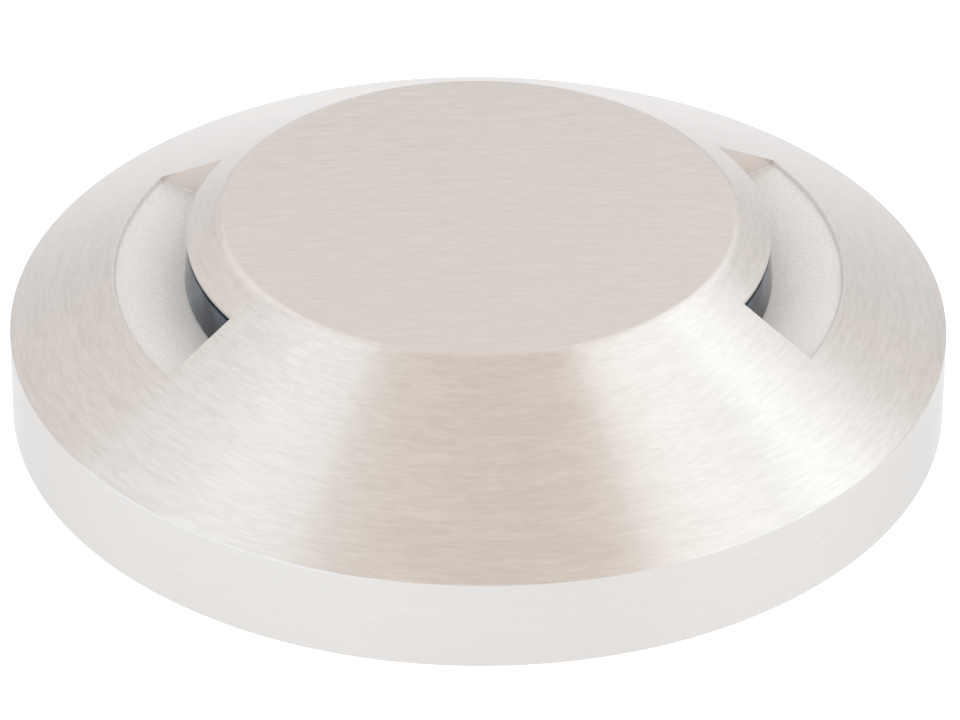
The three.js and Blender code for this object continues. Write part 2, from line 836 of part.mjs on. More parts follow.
function makeController() {
  const leadRows = leadStepShares.map((share) => share * controllerLead.pitch);
  const leads = leadRows.map((y) =>
    moved(
      block(
        controllerSize.width + 2 * controllerLead.width,
        controllerLead.length,
        partBottom,
        partBottom + controllerLead.height,
      ),
      [0, y],
    ),
  );
  return join(brick(controllerSize), ...leads);
}

function makeTerminal() {
  const low = partBottom + (terminalSize.height - terminalHole) / 2;
  const mouth = block(terminalHole, terminalSize.length, low, low + terminalHole);
  const mouths = [-1, 1].map((side) =>
    moved(mouth, [(side * terminalPitch) / 2, -terminalSize.length / 2]),
  );
  return cut(brick(terminalSize), ...mouths);
}

place(lamp, "inductor", moved(makeInductor(), [-sideRow, outerRow]), materials.ferrite);
place(lamp, "capacitor_in", moved(makeCapacitor(), [sideRow, outerRow]), materials.can);
place(lamp, "capacitor_out", moved(makeCapacitor(), [-sideRow, -outerRow]), materials.can);
place(lamp, "surge_diode", moved(brick(surgeDiodeSize), [sideRow, -outerRow]), materials.epoxy);
place(lamp, "rectifier", moved(brick(rectifierSize), [-sideRow, 0]), materials.epoxy);
place(lamp, "controller_chip", moved(makeController(), [sideRow, 0]), materials.epoxy);
const terminalY = (driverBoardLength - terminalSize.length) / 2;
place(lamp, "supply_terminal", moved(makeTerminal(), [0, terminalY]), materials.terminal);

// What stands behind each window, made for the +X side. The face of the lens leans with the
// window.
function lensFaceAt(level) {
  return lipRadius - lensSetback + (windowLean * (windowTop - level)) / windowHeight;
}

function windowLens() {
  const foot = sillHeight + sideGap;
  const body = turned(
    [
      [flangeInner, foot],
      [lensFaceAt(foot), foot],
      [lensFaceAt(lensTop), lensTop],
      [flangeInner, lensTop],
    ],
    coverFacets,
  );
  const flange = tube(flangeInner, flangeOuter, flangeBottom, lensTop, coverFacets);
  const bodySlice = slice(lensHalfAngle, coverRadius, flangeBottom - overrun, lensTop + overrun);
  const flangeSlice = slice(flangeHalfAngle, coverRadius, flangeBottom - overrun, lensTop + overrun);
  return join(body.intersect(bodySlice), flange.intersect(flangeSlice));
}

function lensGasket() {
  const inner = flangeOuter + contactGap;
  const top = windowTop - contactGap;
  const low = flangeBottom - overrun;
  const frame = tube(inner, gasketOuter, flangeBottom, top, coverFacets);
  const cap = tube(inner, lipRadius - windowWall / 4, top - gasketTopThickness, top, coverFacets);
  const hole = slice(windowHalfAngle, coverRadius, sillHeight, top - gasketTopThickness);
  const capSlice = slice(lensHalfAngle, coverRadius, low, top + overrun);
  const frameSlice = slice(flangeHalfAngle, coverRadius, low, top + overrun);
  return join(cut(frame.intersect(frameSlice), hole), cap.intersect(capSlice));
}

const ledPlaces = Array.from({ length: ledCount }, (_, i) => (i - (ledCount - 1) / 2) * ledPitch);

function ledBoard() {
  const board = new THREE.BoxGeometry(ledBoardThickness, ledBoardLength, ledBoardHeight);
  const centre = ledBoardTop - ledBoardHeight / 2;
  return moved(solid(board), [ledBoardFace - ledBoardThickness / 2, 0], centre);
}

function ledChip(y) {
  const chip = new THREE.BoxGeometry(ledHeight, ledSize, ledSize);
  return moved(solid(chip), [ledBoardFace + contactGap + ledHeight / 2, y], ledLevel);
}

function reflector() {
  const back = ledBoardFace + contactGap;
  const front = flangeInner - contactGap;
  const reach = front + overrun;
  const bottom = ledLevel - reflectorHeight / 2;
  const top = ledLevel + reflectorHeight / 2;
  const drum = rod(front, bottom, top, coverFacets);
  const band = block(reach, reflectorLength, bottom - overrun, top + overrun);
  const cutter = moved(band, [back + reach / 2, 0]);
  const depth = front - back;
  // A square pocket that opens towards the lens
  const flare = new THREE.CylinderGeometry(
    (reflectorThroat / 2) * Math.SQRT2,
    (reflectorThroat / 2) * Math.SQRT2,
    depth + 2 * contactGap,
    4,
  );
  flare.rotateY(Math.PI / 4).rotateZ(Math.PI / 2);
  const pockets = ledPlaces.map((y) => moved(solid(flare), [(back + front) / 2, y], ledLevel));
  return cut(drum.intersect(cutter), ...pockets);
}

// A lead from the driver board to the back of the LED board
function ledLead(side) {
  const x0 = driverBoardWidth / 2 - driverBoardCorner / 2;
  const y0 = side * (pillarRow + boardScrewHeadDiameter);
  const x1 = ledBoardBack - contactGap - wireDiameter / 2;
  const y1 = side * (ledBoardLength / 2 - wireDiameter);
  const start = partBottom + wireDiameter / 2;
  const level = start + wireRise;
  const middle = (x0 + x1) / 2;
  const route = new THREE.CatmullRomCurve3([
    new THREE.Vector3(x0, y0, start),
    new THREE.Vector3(x0 + wireDiameter, y0, start + wireRise / 2),
    new THREE.Vector3(middle, (y0 + y1) / 2, level),
    new THREE.Vector3(x1, y1, level),
  ]);
  const section = new THREE.Shape();
  section.absarc(0, 0, wireDiameter / 2, 0, 2 * Math.PI);
  const options = { steps: wireSteps, extrudePath: route, curveSegments: wireSides / 2 };
  return solid(new THREE.ExtrudeGeometry(section, options));
}

[
  { word: "right", turn: 0 },
  { word: "left", turn: 180 },
].forEach(({ word, turn }) => {
  const side = (name, body, material) => place(lamp, name, body.rotate([0, 0, turn]), material);
  side(`window_lens_${word}`, windowLens(), materials.lens);
  side(`lens_gasket_${word}`, lensGasket(), materials.rubber);
  side(`led_board_${word}`, ledBoard(), materials.whiteBoard);
  side(`reflector_${word}`, reflector(), materials.chrome);
  ledPlaces.forEach((y, i) => side(`led_${word}_${i + 1}`, ledChip(y), materials.phosphor));
  side(`led_lead_red_${word}`, ledLead(1), materials.redWire);
  side(`led_lead_black_${word}`, ledLead(-1), materials.blackWire);
});

export default light;
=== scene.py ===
# %% [markdown]
# # A brushed steel ground light
# This lesson dresses a low, round LED marker light: a steel cone with two windows cut into its
# sides. Its working parts come ready made as a frame of solids at their real size. Here they get
# fine meshes and real finishes, under a plain studio light.

import json
from math import atan2, cos, degrees, pi, radians, sin, sqrt, tan, tau

import bmesh
import bpy
import numpy as np
from mathutils import Matrix, Vector

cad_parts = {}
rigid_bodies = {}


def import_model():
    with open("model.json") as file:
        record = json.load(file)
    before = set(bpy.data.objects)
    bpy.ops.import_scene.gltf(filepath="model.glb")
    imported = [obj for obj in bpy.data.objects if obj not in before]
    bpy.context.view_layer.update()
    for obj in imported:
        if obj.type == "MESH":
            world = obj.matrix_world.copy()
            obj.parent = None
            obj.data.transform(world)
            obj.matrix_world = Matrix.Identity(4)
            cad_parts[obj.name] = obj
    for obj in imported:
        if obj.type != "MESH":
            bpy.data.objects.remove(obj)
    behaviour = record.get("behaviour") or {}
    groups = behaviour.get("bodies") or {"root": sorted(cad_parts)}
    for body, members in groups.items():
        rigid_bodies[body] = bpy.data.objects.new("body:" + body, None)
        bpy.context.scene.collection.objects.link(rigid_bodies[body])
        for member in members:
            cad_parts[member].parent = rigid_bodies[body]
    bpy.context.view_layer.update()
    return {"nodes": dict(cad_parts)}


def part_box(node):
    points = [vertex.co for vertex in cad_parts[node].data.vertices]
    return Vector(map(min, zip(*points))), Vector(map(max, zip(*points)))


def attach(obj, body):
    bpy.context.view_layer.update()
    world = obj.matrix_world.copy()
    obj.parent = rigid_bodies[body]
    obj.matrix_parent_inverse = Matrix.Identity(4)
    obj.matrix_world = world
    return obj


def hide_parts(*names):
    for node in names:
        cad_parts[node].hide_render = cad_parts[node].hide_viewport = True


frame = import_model()
print("nodes in the frame:", len(frame["nodes"]))

# %% [markdown]
# ## Sizes
# Everything is written in millimetres, as a maker would draw it, and one factor turns it into
# Blender's metres. The outer size is read from the frame. The rest repeats the construction's own
# sizes, so that each fine mesh lands on the solid that it stands for.

# %% Sizes in millimetres
MM = 0.001


def box_mm(node):
    low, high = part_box(node)
    return low / MM, high / MM


COVER_LOW, COVER_HIGH = box_mm("cover")
COVER_RADIUS = (COVER_HIGH.x - COVER_LOW.x) / 2
COVER_HEIGHT = COVER_HIGH.z
RIM_HEIGHT = 10.0
TOP_RADIUS, TOP_ROUND, RIM_ROUND = 27.5, 1.8, 0.16
LIP_RADIUS, LIP_BAND = 31.0, 0.35
RECESS_RADIUS, STEP_HEIGHT, STEP_RUN = 38.95, 0.45, 0.5
WINDOW_HEIGHT, WINDOW_LEAN, WINDOW_HALF = 5.1, 0.4, radians(30.6)
CHAMBER_RADIUS, SILL_WALL, LAND_RADIUS = 28.0, 2.2, 36.0
SEAT_RADIUS, SEAT_HEIGHT = 45.5, 8.5
CONTACT, SIDE = 0.1, 0.3  # clearances: between faces that touch, and round what slides in

CONE_RISE = COVER_HEIGHT - RIM_HEIGHT
CONE_RUN = COVER_RADIUS - TOP_RADIUS


def cone_height(radius):
    return RIM_HEIGHT + CONE_RISE * (COVER_RADIUS - radius) / CONE_RUN


WINDOW_TOP = cone_height(LIP_RADIUS) - LIP_BAND
SILL_HEIGHT = WINDOW_TOP - WINDOW_HEIGHT
SILL_RADIUS = LIP_RADIUS + WINDOW_LEAN
STEP_FOOT = cone_height(RECESS_RADIUS) - STEP_HEIGHT
LOWER_ROOF = SILL_HEIGHT - SILL_WALL
print("cover:", round(2 * COVER_RADIUS, 2), "across,", round(COVER_HEIGHT, 2), "high")

# %% [markdown]
# ## One helper for nodes
# Materials and Geometry Nodes are both trees of nodes. A single small function adds a node, sets
# its options and fills its inputs. An input takes a plain value, an output of another node, or a
# whole node, of which the first output then counts.

# %% Helpers for trees, colours and objects
def add_node(tree, kind, inputs=None, **settings):
    node = tree.nodes.new(kind)
    for key, value in settings.items():
        setattr(node, key, value)
    for key, value in (inputs or {}).items():
        source = value.outputs[0] if isinstance(value, bpy.types.Node) else value
        if isinstance(source, bpy.types.NodeSocket):
            tree.links.new(source, node.inputs[key])
        else:
            node.inputs[key].default_value = source
    return node


def colour(code):
    """An sRGB hex value as the linear colour that a shader wants."""
    channels = [int(code[i : i + 2], 16) / 255 for i in (1, 3, 5)]
    linear = [c / 12.92 if c <= 0.04045 else ((c + 0.055) / 1.055) ** 2.4 for c in channels]
    return (*linear, 1.0)


def new_material(name):
    material = bpy.data.materials.new(name)
    material.use_nodes = True
    material.node_tree.nodes.clear()
    return material, material.node_tree


def linked(name, data):
    """A new object with this data, linked to the scene."""
    item = bpy.data.objects.new(name, data)
    bpy.context.scene.collection.objects.link(item)
    return item


print("the middle grey #808080 is", round(colour("#808080")[0], 3), "in linear light")

# %% [markdown]
# ## Camera
# The photographer stood 0.7 m away with a long lens and looked down by 33 degrees. The place, the
# aim and the lens were worked out from the ellipses that rim, cone and top make in the picture.

# %% Camera
CAMERA_AZIMUTH = radians(-93.54)
CAMERA_ELEVATION = radians(33.03)
CAMERA_DISTANCE = 700.0
CAMERA_TARGET = Vector((0, 0, 7.5))
CAMERA_YAW, CAMERA_PITCH, CAMERA_ROLL = radians(0.017), radians(-0.212), radians(0.31)
SENSOR_WIDTH, PHOTO_WIDTH, FOCAL_PIXELS = 36.0, 960, 6534
CLIP_NEAR, CLIP_FAR = 0.01, 10


def direction(azimuth, elevation):
    level = Vector((cos(azimuth), sin(azimuth), 0))
    return level, level * cos(elevation) + Vector((0, 0, sin(elevation)))


def aim_camera():
    data = bpy.data.cameras.new("camera")
    data.sensor_width = SENSOR_WIDTH
    data.lens = SENSOR_WIDTH * FOCAL_PIXELS / PHOTO_WIDTH
    data.clip_start, data.clip_end = CLIP_NEAR, CLIP_FAR
    camera = linked("camera", data)
    level, back = direction(CAMERA_AZIMUTH, CAMERA_ELEVATION)
    side = Vector((-level.y, level.x, 0))
    rise = back.cross(side)
    ahead = (side * tan(CAMERA_YAW) + rise * tan(CAMERA_PITCH) - back).normalized()
    right = ahead.cross(Vector((0, 0, 1))).normalized()
    up = right.cross(ahead)
    rolled = right * cos(CAMERA_ROLL) + up * sin(CAMERA_ROLL)
    upright = up * cos(CAMERA_ROLL) - right * sin(CAMERA_ROLL)
    turn = Matrix((rolled, upright, -ahead)).transposed().to_4x4()
    place = (CAMERA_TARGET + back * CAMERA_DISTANCE) * MM
    camera.matrix_world = Matrix.Translation(place) @ turn
    bpy.context.scene.camera = camera
    return camera


camera = aim_camera()
print("lens:", round(camera.data.lens, 1), "mm")

# %% [markdown]
# ## Brushed steel
# The cover is a casting in stainless steel, turned and then brushed with an abrasive belt. The belt
# leaves fine parallel scratches. Across them the surface is rough and along them it is smooth, so
# a highlight spreads out across the lines: on the cone, that gives the bright and dark wedges. The
# Principled shader's anisotropy does this once it knows which way the lines run. The scratches
# themselves are noise, squeezed across the lines and stretched along them. On the real steel they
# are 0.02 to 0.2 mm wide and a few millimetres long. Only the widest show in a picture, faintly.
# The upright rim had a finer belt and looks almost plain. Steel mirrors a little less than the
# plain metal shader where the eye grazes it, so the rim's shader has a light grey edge tint, which
# keeps its two ends apart from the white behind them.

# %% Brushed steel
BELT_TONES, FINE_TONES = ("#cec5be", "#d8cfc8"), ("#d2c9c2", "#d6cdc6")
SCRATCH_WIDTH, SCRATCH_LENGTH = 0.28, 2.4
BAND_WIDTH, BAND_LENGTH, BAND_SHARE = 0.8, 9.0, 0.35
SCRATCH_DEPTH, FINE_DEPTH = 0.001, 0.0004
PLAIN_EDGE, DIM_EDGE = "#ffffff", "#f1f1f1"
TONE_LOW, TONE_HIGH = 0.35, 0.65
NOISE_LOW, NOISE_HIGH = 0.3, 0.7
SMOOTHEST, ROUGHEST = 0.28, 0.34


def lines_round(tree, width, length):
    """Coordinates for lines that run round the axis, without a seam."""
    grain = add_node(tree, "ShaderNodeUVMap", uv_map="grain")
    across = add_node(tree, "ShaderNodeSeparateXYZ", {0: grain}).outputs[1]
    across = add_node(tree, "ShaderNodeMath", {0: across, 1: 1 / width}, operation="MULTIPLY")
    lift = add_node(tree, "ShaderNodeCombineXYZ", {2: across})
    place = add_node(tree, "ShaderNodeTexCoord").outputs["Object"]
    level = {0: place, 1: (1, 1, 0)}
    level = add_node(tree, "ShaderNodeVectorMath", level, operation="MULTIPLY")
    ray = add_node(tree, "ShaderNodeVectorMath", {0: level}, operation="NORMALIZE")
    around = {0: ray, "Scale": COVER_RADIUS / length}
    around = add_node(tree, "ShaderNodeVectorMath", around, operation="SCALE")
    return add_node(tree, "ShaderNodeVectorMath", {0: around, 1: lift}, operation="ADD")


def lines_straight(tree, width, length):
    """Coordinates for lines that run along the grain map's U."""
    grain = add_node(tree, "ShaderNodeUVMap", uv_map="grain")
    scale = (1 / length, 1 / width, 1)
    return add_node(tree, "ShaderNodeMapping", {"Vector": grain, "Scale": scale})


def brushed_steel(name, lines, depth=SCRATCH_DEPTH, tones=BELT_TONES, edge=PLAIN_EDGE):
    material, tree = new_material(name)
    inputs = {"Vector": lines(tree, SCRATCH_WIDTH, SCRATCH_LENGTH), "Scale": 1, "Detail": 1.5}
    fine = add_node(tree, "ShaderNodeTexNoise", inputs)
    inputs = {"Vector": lines(tree, BAND_WIDTH, BAND_LENGTH), "Scale": 1, "Detail": 1}
    broad = add_node(tree, "ShaderNodeTexNoise", inputs)
    both = add_node(tree, "ShaderNodeMix", {0: BAND_SHARE, 2: fine, 3: broad})
    tone = add_node(tree, "ShaderNodeMapRange", {0: both, 1: TONE_LOW, 2: TONE_HIGH})
    inputs = {0: tone, 6: colour(tones[0]), 7: colour(tones[1])}
    tint = add_node(tree, "ShaderNodeMix", inputs, data_type="RGBA").outputs[2]
    inputs = {0: both, 1: NOISE_LOW, 2: NOISE_HIGH, 3: SMOOTHEST, 4: ROUGHEST}
    rough = add_node(tree, "ShaderNodeMapRange", inputs)
    inputs = {
        "Base Color": tint,
        "Metallic": 1.0,
        "Roughness": rough,
        "Anisotropic": 0.85,
        "Anisotropic Rotation": 0.25,
        "Specular Tint": colour(edge),
        "Normal": add_node(tree, "ShaderNodeBump", {"Height": fine, "Distance": depth * MM}),
        "Tangent": add_node(tree, "ShaderNodeTangent", direction_type="UV_MAP", uv_map="grain"),
    }
    shader = add_node(tree, "ShaderNodeBsdfPrincipled", inputs)
    add_node(tree, "ShaderNodeOutputMaterial", {"Surface": shader})
    return material


STEEL_ROUND = brushed_steel("stainless_brushed_round", lines_round)
STEEL_STRAIGHT = brushed_steel("stainless_brushed_straight", lines_straight)
STEEL_FINE = brushed_steel(
    "stainless_brushed_fine", lines_round, FINE_DEPTH, FINE_TONES, DIM_EDGE
)
print("brushed steel ready")

# %% [markdown]
# ## Cast and milled steel
# The recesses and the inside keep the skin of the casting: shot-blasted, matte, with grains of a
# few tenths of a millimetre. It has no direction, so plain noise in Object coordinates will do.
# The same recipe suits most finishes of this light. The noise changes the tone a little and lifts
# the surface a little, at the material's real grain size. The end walls of a recess are cut with an
# end mill, which leaves them smoother: each mirrors a little of the floor beside it.

# %% Cast and milled steel
CAST_LIGHT, CAST_DARK = "#ece5e0", "#e0d9d3"
MILL_STROKE, MILL_MARK, MILL_DEPTH = 8.0, 0.5, 0.006


def grained(name, light, dark, grain, depth, rough, metallic=0.0, **noise_inputs):
    """An even grain. The size and the depth of a grain are in millimetres."""
    material, tree = new_material(name)
    place = add_node(tree, "ShaderNodeTexCoord").outputs["Object"]
    inputs = {"Vector": place, "Scale": 1 / (grain * MM), "Detail": 3, **noise_inputs}
    skin = add_node(tree, "ShaderNodeTexNoise", inputs)
    tone = add_node(tree, "ShaderNodeMapRange", {0: skin, 1: NOISE_LOW, 2: NOISE_HIGH})
    inputs = {0: tone, 6: colour(dark), 7: colour(light)}
    tint = add_node(tree, "ShaderNodeMix", inputs, data_type="RGBA").outputs[2]
    lift = add_node(tree, "ShaderNodeBump", {"Height": skin, "Distance": depth * MM})
    inputs = {"Base Color": tint, "Metallic": metallic, "Roughness": rough, "Normal": lift}
    shader = add_node(tree, "ShaderNodeBsdfPrincipled", inputs)
    add_node(tree, "ShaderNodeOutputMaterial", {"Surface": shader})
    return material


def milled_steel():
    material, tree = new_material("stainless_milled")
    place = add_node(tree, "ShaderNodeTexCoord").outputs["Object"]
    scale = [1 / (size * MM) for size in (MILL_STROKE, MILL_STROKE, MILL_MARK)]
    stretched = add_node(tree, "ShaderNodeMapping", {"Vector": place, "Scale": scale})
    marks = add_node(tree, "ShaderNodeTexNoise", {"Vector": stretched, "Scale": 1, "Detail": 2})
    lift = add_node(tree, "ShaderNodeBump", {"Height": marks, "Distance": MILL_DEPTH * MM})
    inputs = {"Base Color": colour(CAST_LIGHT), "Metallic": 1.0, "Roughness": 0.25, "Normal": lift}
    shader = add_node(tree, "ShaderNodeBsdfPrincipled", inputs)
    add_node(tree, "ShaderNodeOutputMaterial", {"Surface": shader})
    return material


STEEL_CAST = grained(
    "stainless_cast_blasted", CAST_LIGHT, CAST_DARK, 0.35, 0.03, 0.8, 0.75, Detail=4, Roughness=0.6
)
STEEL_MILLED = milled_steel()
print("cast and milled steel ready")

# %% [markdown]
# ## Outlines
# A turned piece starts as an outline of radius and height. Real corners are never sharp, so a
# helper replaces chosen corners by small arcs. A second helper adds a point close to each end of a
# long stretch, which keeps the shading of a flat or a cone from bleeding into its rounded edges.

# %% Outlines with rounded corners
ARC_STEPS = 5
EASE = 0.06


def rounded(points, closed=False):
    """Points are (radius, height) or (radius, height, corner rounding)."""
    result = []
    count = len(points)
    for i, (x, y, *rest) in enumerate(points):
        corner = Vector((x, y))
        inner = closed or 0 < i < count - 1
        if not rest or not inner:
            result.append(corner)
            continue
        before = (Vector(points[i - 1][:2]) - corner).normalized()
        after = (Vector(points[(i + 1) % count][:2]) - corner).normalized()
        half = before.angle(after) / 2
        reach = rest[0] / tan(half)
        centre = corner + (before + after).normalized() * rest[0] / sin(half)
        start = corner + before * reach - centre
        sweep = start.angle_signed(corner + after * reach - centre)
        for step in range(ARC_STEPS + 1):
            spoke = start.copy()
            spoke.rotate(Matrix.Rotation(-sweep * step / ARC_STEPS, 2))
            result.append(centre + spoke)
    return result


def eased(points):
    result = [points[0]]
    for a, b in zip(points, points[1:]):
        if (b - a).length > 4 * EASE:
            step = (b - a).normalized() * EASE
            result += [a + step, b - step]
        result.append(b)
    return result


print("corner arcs have", ARC_STEPS, "steps")

# %% [markdown]
# ## Turned pieces with Geometry Nodes
# Most of this light is turned on a lathe: one outline, swept round the axis. That is a rule, so a
# node tree makes it. The tree lays a grid with one column for each small turn and one row for each
# point of the outline. It also writes a UV map called grain, in millimetres, with U along the brush
# lines and V across them, because brushed steel needs to know which way its lines run.

# %% The turning tree
TURN_STEP = radians(0.6)
MERGE = 1e-6
TURN_INPUTS = {
    "Profile": "Geometry",
    "Steps": "Int",
    "Start": "Float",
    "Sweep": "Float",
    "Grain Radius": "Float",
    "Material": "Material",
}


def new_geometry_tree(name, inputs):
    tree = bpy.data.node_groups.new(name, "GeometryNodeTree")
    tree.is_modifier = True
    for label, kind in inputs.items():
        tree.interface.new_socket(label, in_out="INPUT", socket_type="NodeSocket" + kind)
    tree.interface.new_socket("Geometry", in_out="OUTPUT", socket_type="NodeSocketGeometry")
    return tree, add_node(tree, "NodeGroupInput").outputs


def end_geometry_tree(tree, geometry, material):
    whole = add_node(tree, "GeometryNodeRealizeInstances", {"Geometry": geometry})
    inputs = {"Geometry": whole, "Material": material}
    painted = add_node(tree, "GeometryNodeSetMaterial", inputs)
    add_node(tree, "NodeGroupOutput", {"Geometry": painted})


def turning_tree():
    tree, given = new_geometry_tree("turned_profile", TURN_INPUTS)
    profile, steps = given["Profile"], given["Steps"]
    size = add_node(tree, "GeometryNodeAttributeDomainSize", {"Geometry": profile})
    rows = size.outputs["Point Count"]
    columns = add_node(tree, "ShaderNodeMath", {0: steps, 1: 1}, operation="ADD")
    grid = add_node(tree, "GeometryNodeMeshGrid", {"Vertices X": columns, "Vertices Y": rows})
    index = add_node(tree, "GeometryNodeInputIndex")
    middle = add_node(tree, "ShaderNodeMath", {0: index, 1: 0.5}, operation="ADD")
    share = add_node(tree, "ShaderNodeMath", {0: middle, 1: rows}, operation="DIVIDE")
    column = add_node(tree, "ShaderNodeMath", {0: share}, operation="FLOOR")
    passed = add_node(tree, "ShaderNodeMath", {0: column, 1: rows}, operation="MULTIPLY")
    row = add_node(tree, "ShaderNodeMath", {0: index, 1: passed}, operation="SUBTRACT")
    place = add_node(tree, "GeometryNodeInputPosition")
    inputs = {"Geometry": profile, "Index": row, "Value": place}
    point = add_node(tree, "GeometryNodeSampleIndex", inputs, data_type="FLOAT_VECTOR")
    run = add_node(tree, "GeometryNodeInputNamedAttribute", {"Name": "run"}, data_type="FLOAT")
    inputs = {"Geometry": profile, "Index": row, "Value": run}
    run = add_node(tree, "GeometryNodeSampleIndex", inputs, data_type="FLOAT")
    part = add_node(tree, "ShaderNodeMath", {0: column, 1: steps}, operation="DIVIDE")
    inputs = {0: part, 1: given["Sweep"], 2: given["Start"]}
    angle = add_node(tree, "ShaderNodeMath", inputs, operation="MULTIPLY_ADD")
    inputs = {"Vector": point, "Angle": angle}
    swung = add_node(tree, "ShaderNodeVectorRotate", inputs, rotation_type="Z_AXIS")
    inputs = {"Geometry": grid.outputs["Mesh"], "Position": swung}
    swept = add_node(tree, "GeometryNodeSetPosition", inputs)
    inputs = {0: angle, 1: given["Grain Radius"]}
    arc = add_node(tree, "ShaderNodeMath", inputs, operation="MULTIPLY")
    grain = add_node(tree, "ShaderNodeCombineXYZ", {0: arc, 1: run})
    store, vector = "GeometryNodeStoreNamedAttribute", "FLOAT_VECTOR"
    inputs = {"Geometry": swept, "Name": "grain_at", "Value": grain}
    kept = add_node(tree, store, inputs, data_type=vector, domain="POINT")
    inputs = {"Name": "grain_at"}
    read = add_node(tree, "GeometryNodeInputNamedAttribute", inputs, data_type=vector)
    inputs = {"Geometry": kept, "Name": "grain", "Value": read}
    mapped = add_node(tree, store, inputs, data_type="FLOAT2", domain="CORNER")
    inputs = {"Geometry": mapped, "Name": "grain_at"}
    clean = add_node(tree, "GeometryNodeRemoveAttribute", inputs)
    inputs = {"Geometry": clean, "Distance": MERGE}
    merged = add_node(tree, "GeometryNodeMergeByDistance", inputs)
    end_geometry_tree(tree, merged, given["Material"])
    return tree


TURNING = turning_tree()
print("turning tree:", len(TURNING.nodes), "nodes")

# %% [markdown]
# ## From a tree to a plain mesh
# A modifier's inputs are set by their identifiers, which the tree's interface lists. The modifier
# is then evaluated once, its result is copied as a plain mesh, and the helper object goes away.

# %% Baking a tree into a mesh
def baked(holder):
    """The evaluated mesh of an object that is then removed."""
    depsgraph = bpy.context.evaluated_depsgraph_get()
    mesh = bpy.data.meshes.new_from_object(holder.evaluated_get(depsgraph))
    bpy.data.objects.remove(holder)
    return mesh


def grown(tree, mesh, values):
    """The mesh that a tree makes from another mesh and its named inputs."""
    holder = linked(tree.name, mesh)
    modifier = holder.modifiers.new(tree.name, "NODES")
    modifier.node_group = tree
    for item in tree.interface.items_tree:
        if item.in_out == "INPUT" and item.name in values:
            modifier[item.identifier] = values[item.name]
    return baked(holder)


def turned(outline, material, start=-WINDOW_HALF, sweep=tau, straight=False, facets=None):
    """A surface of revolution. The outline is in millimetres."""
    points = [Vector(point) for point in outline]
    lengths = [0.0] + [(b - a).length for a, b in zip(points, points[1:])]
    mesh = bpy.data.meshes.new("outline")
    mesh.from_pydata([(p.x * MM, 0, p.y * MM) for p in points], [], [])
    mesh.attributes.new("run", "FLOAT", "POINT").data.foreach_set("value", np.cumsum(lengths))
    values = {
        "Steps": facets or round(sweep / TURN_STEP),
        "Start": start,
        "Sweep": sweep,
        "Grain Radius": max(p.x for p in points),
        "Material": material,
    }
    made = grown(TURNING, mesh, values)
    if straight:
        corners = np.array([made.vertices[loop.vertex_index].co.xy for loop in made.loops])
        made.uv_layers["grain"].data.foreach_set("uv", (corners / MM).ravel())
    return made


test_ring = turned(eased(rounded([(10, 0), (12, 0, 0.3), (12, 5)])), STEEL_ROUND)
print("a test ring has", len(test_ring.polygons), "faces and", test_ring.uv_layers.keys())

# %% [markdown]
# ## Welding patches
# The cover is closed, but no single outline makes it, because the windows break through. So it is
# made of patches whose edges share the same points, and the patches are welded.

# %% Welding
SHARP = radians(28)


def welded(meshes, capped=False):
    """One mesh from several, with its faces out, and how many of its edges stay open."""
    materials = []
    whole = bmesh.new()
    for mesh in meshes:
        first = len(whole.faces)
        whole.from_mesh(mesh)
        whole.faces.ensure_lookup_table()
        for face in whole.faces[first:]:
            material = mesh.materials[face.material_index]
            if material not in materials:
                materials.append(material)
            face.material_index = materials.index(material)
            face.smooth = True
    bmesh.ops.remove_doubles(whole, verts=whole.verts, dist=MERGE)
    bmesh.ops.dissolve_degenerate(whole, edges=whole.edges, dist=MERGE)
    if capped:
        rims = [edge for edge in whole.edges if edge.is_boundary]
        bmesh.ops.holes_fill(whole, edges=rims, sides=0)
    bmesh.ops.recalc_face_normals(whole, faces=whole.faces)
    open_edges = sum(not edge.is_manifold for edge in whole.edges)
    return mesh_of(whole, "welded", *materials), open_edges


def mesh_of(work, name, *materials):
    """A plain mesh from a bmesh, which is then freed."""
    mesh = bpy.data.meshes.new(name)
    work.to_mesh(mesh)
    work.free()
    for material in materials:
        mesh.materials.append(material)
    return mesh


def add_piece(name, mesh, slot, *nodes, body="luminaire"):
    """An object in the scene, with crisp edges kept crisp, that stands for some nodes."""
    mesh.name = name
    mesh.polygons.foreach_set("use_smooth", [True] * len(mesh.polygons))
    mesh.set_sharp_from_angle(angle=SHARP)
    piece = linked(name, mesh)
    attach(piece, body)
    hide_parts(*nodes)
    return piece


print("edges sharper than", round(degrees(SHARP)), "degrees stay crisp")

# %% [markdown]
# ## The recess
# Each recess is a shallow scoop with a nearly level floor and two radial end walls. The walls have
# a tiny broken edge at the top and at the foot, and the floor ends in a soft step. The recess is
# drawn as rows at growing radius. Each row runs over one wall's edge, down, across and up again.

# %% The recess as rows and columns
WALL_EDGE, WALL_FOOT = 0.02, 0.012
FLOOR_ROWS, STEP_ROWS = 14, 8
EDGE_STRIP = TURN_STEP
WALL_COLUMNS, OVER_LIP = 5, 3
SLANT = sqrt(CONE_RUN**2 + CONE_RISE**2) / CONE_RUN


def recess_rows():
    """Radius and floor height of each row, from the lip outwards."""
    foot = RECESS_RADIUS - STEP_RUN
    rows = [(LIP_RADIUS, SILL_HEIGHT)]
    for share in np.linspace(0, 1, FLOOR_ROWS):
        radius = SILL_RADIUS + (foot - SILL_RADIUS) * share
        rows.append((radius, SILL_HEIGHT + (STEP_FOOT - SILL_HEIGHT) * share))
    for step in range(1, STEP_ROWS + 1):
        share = step / STEP_ROWS
        rise = STEP_HEIGHT * (1 - cos(pi * share)) / 2
        rows.append((foot + STEP_RUN * share, STEP_FOOT + rise))
    return rows


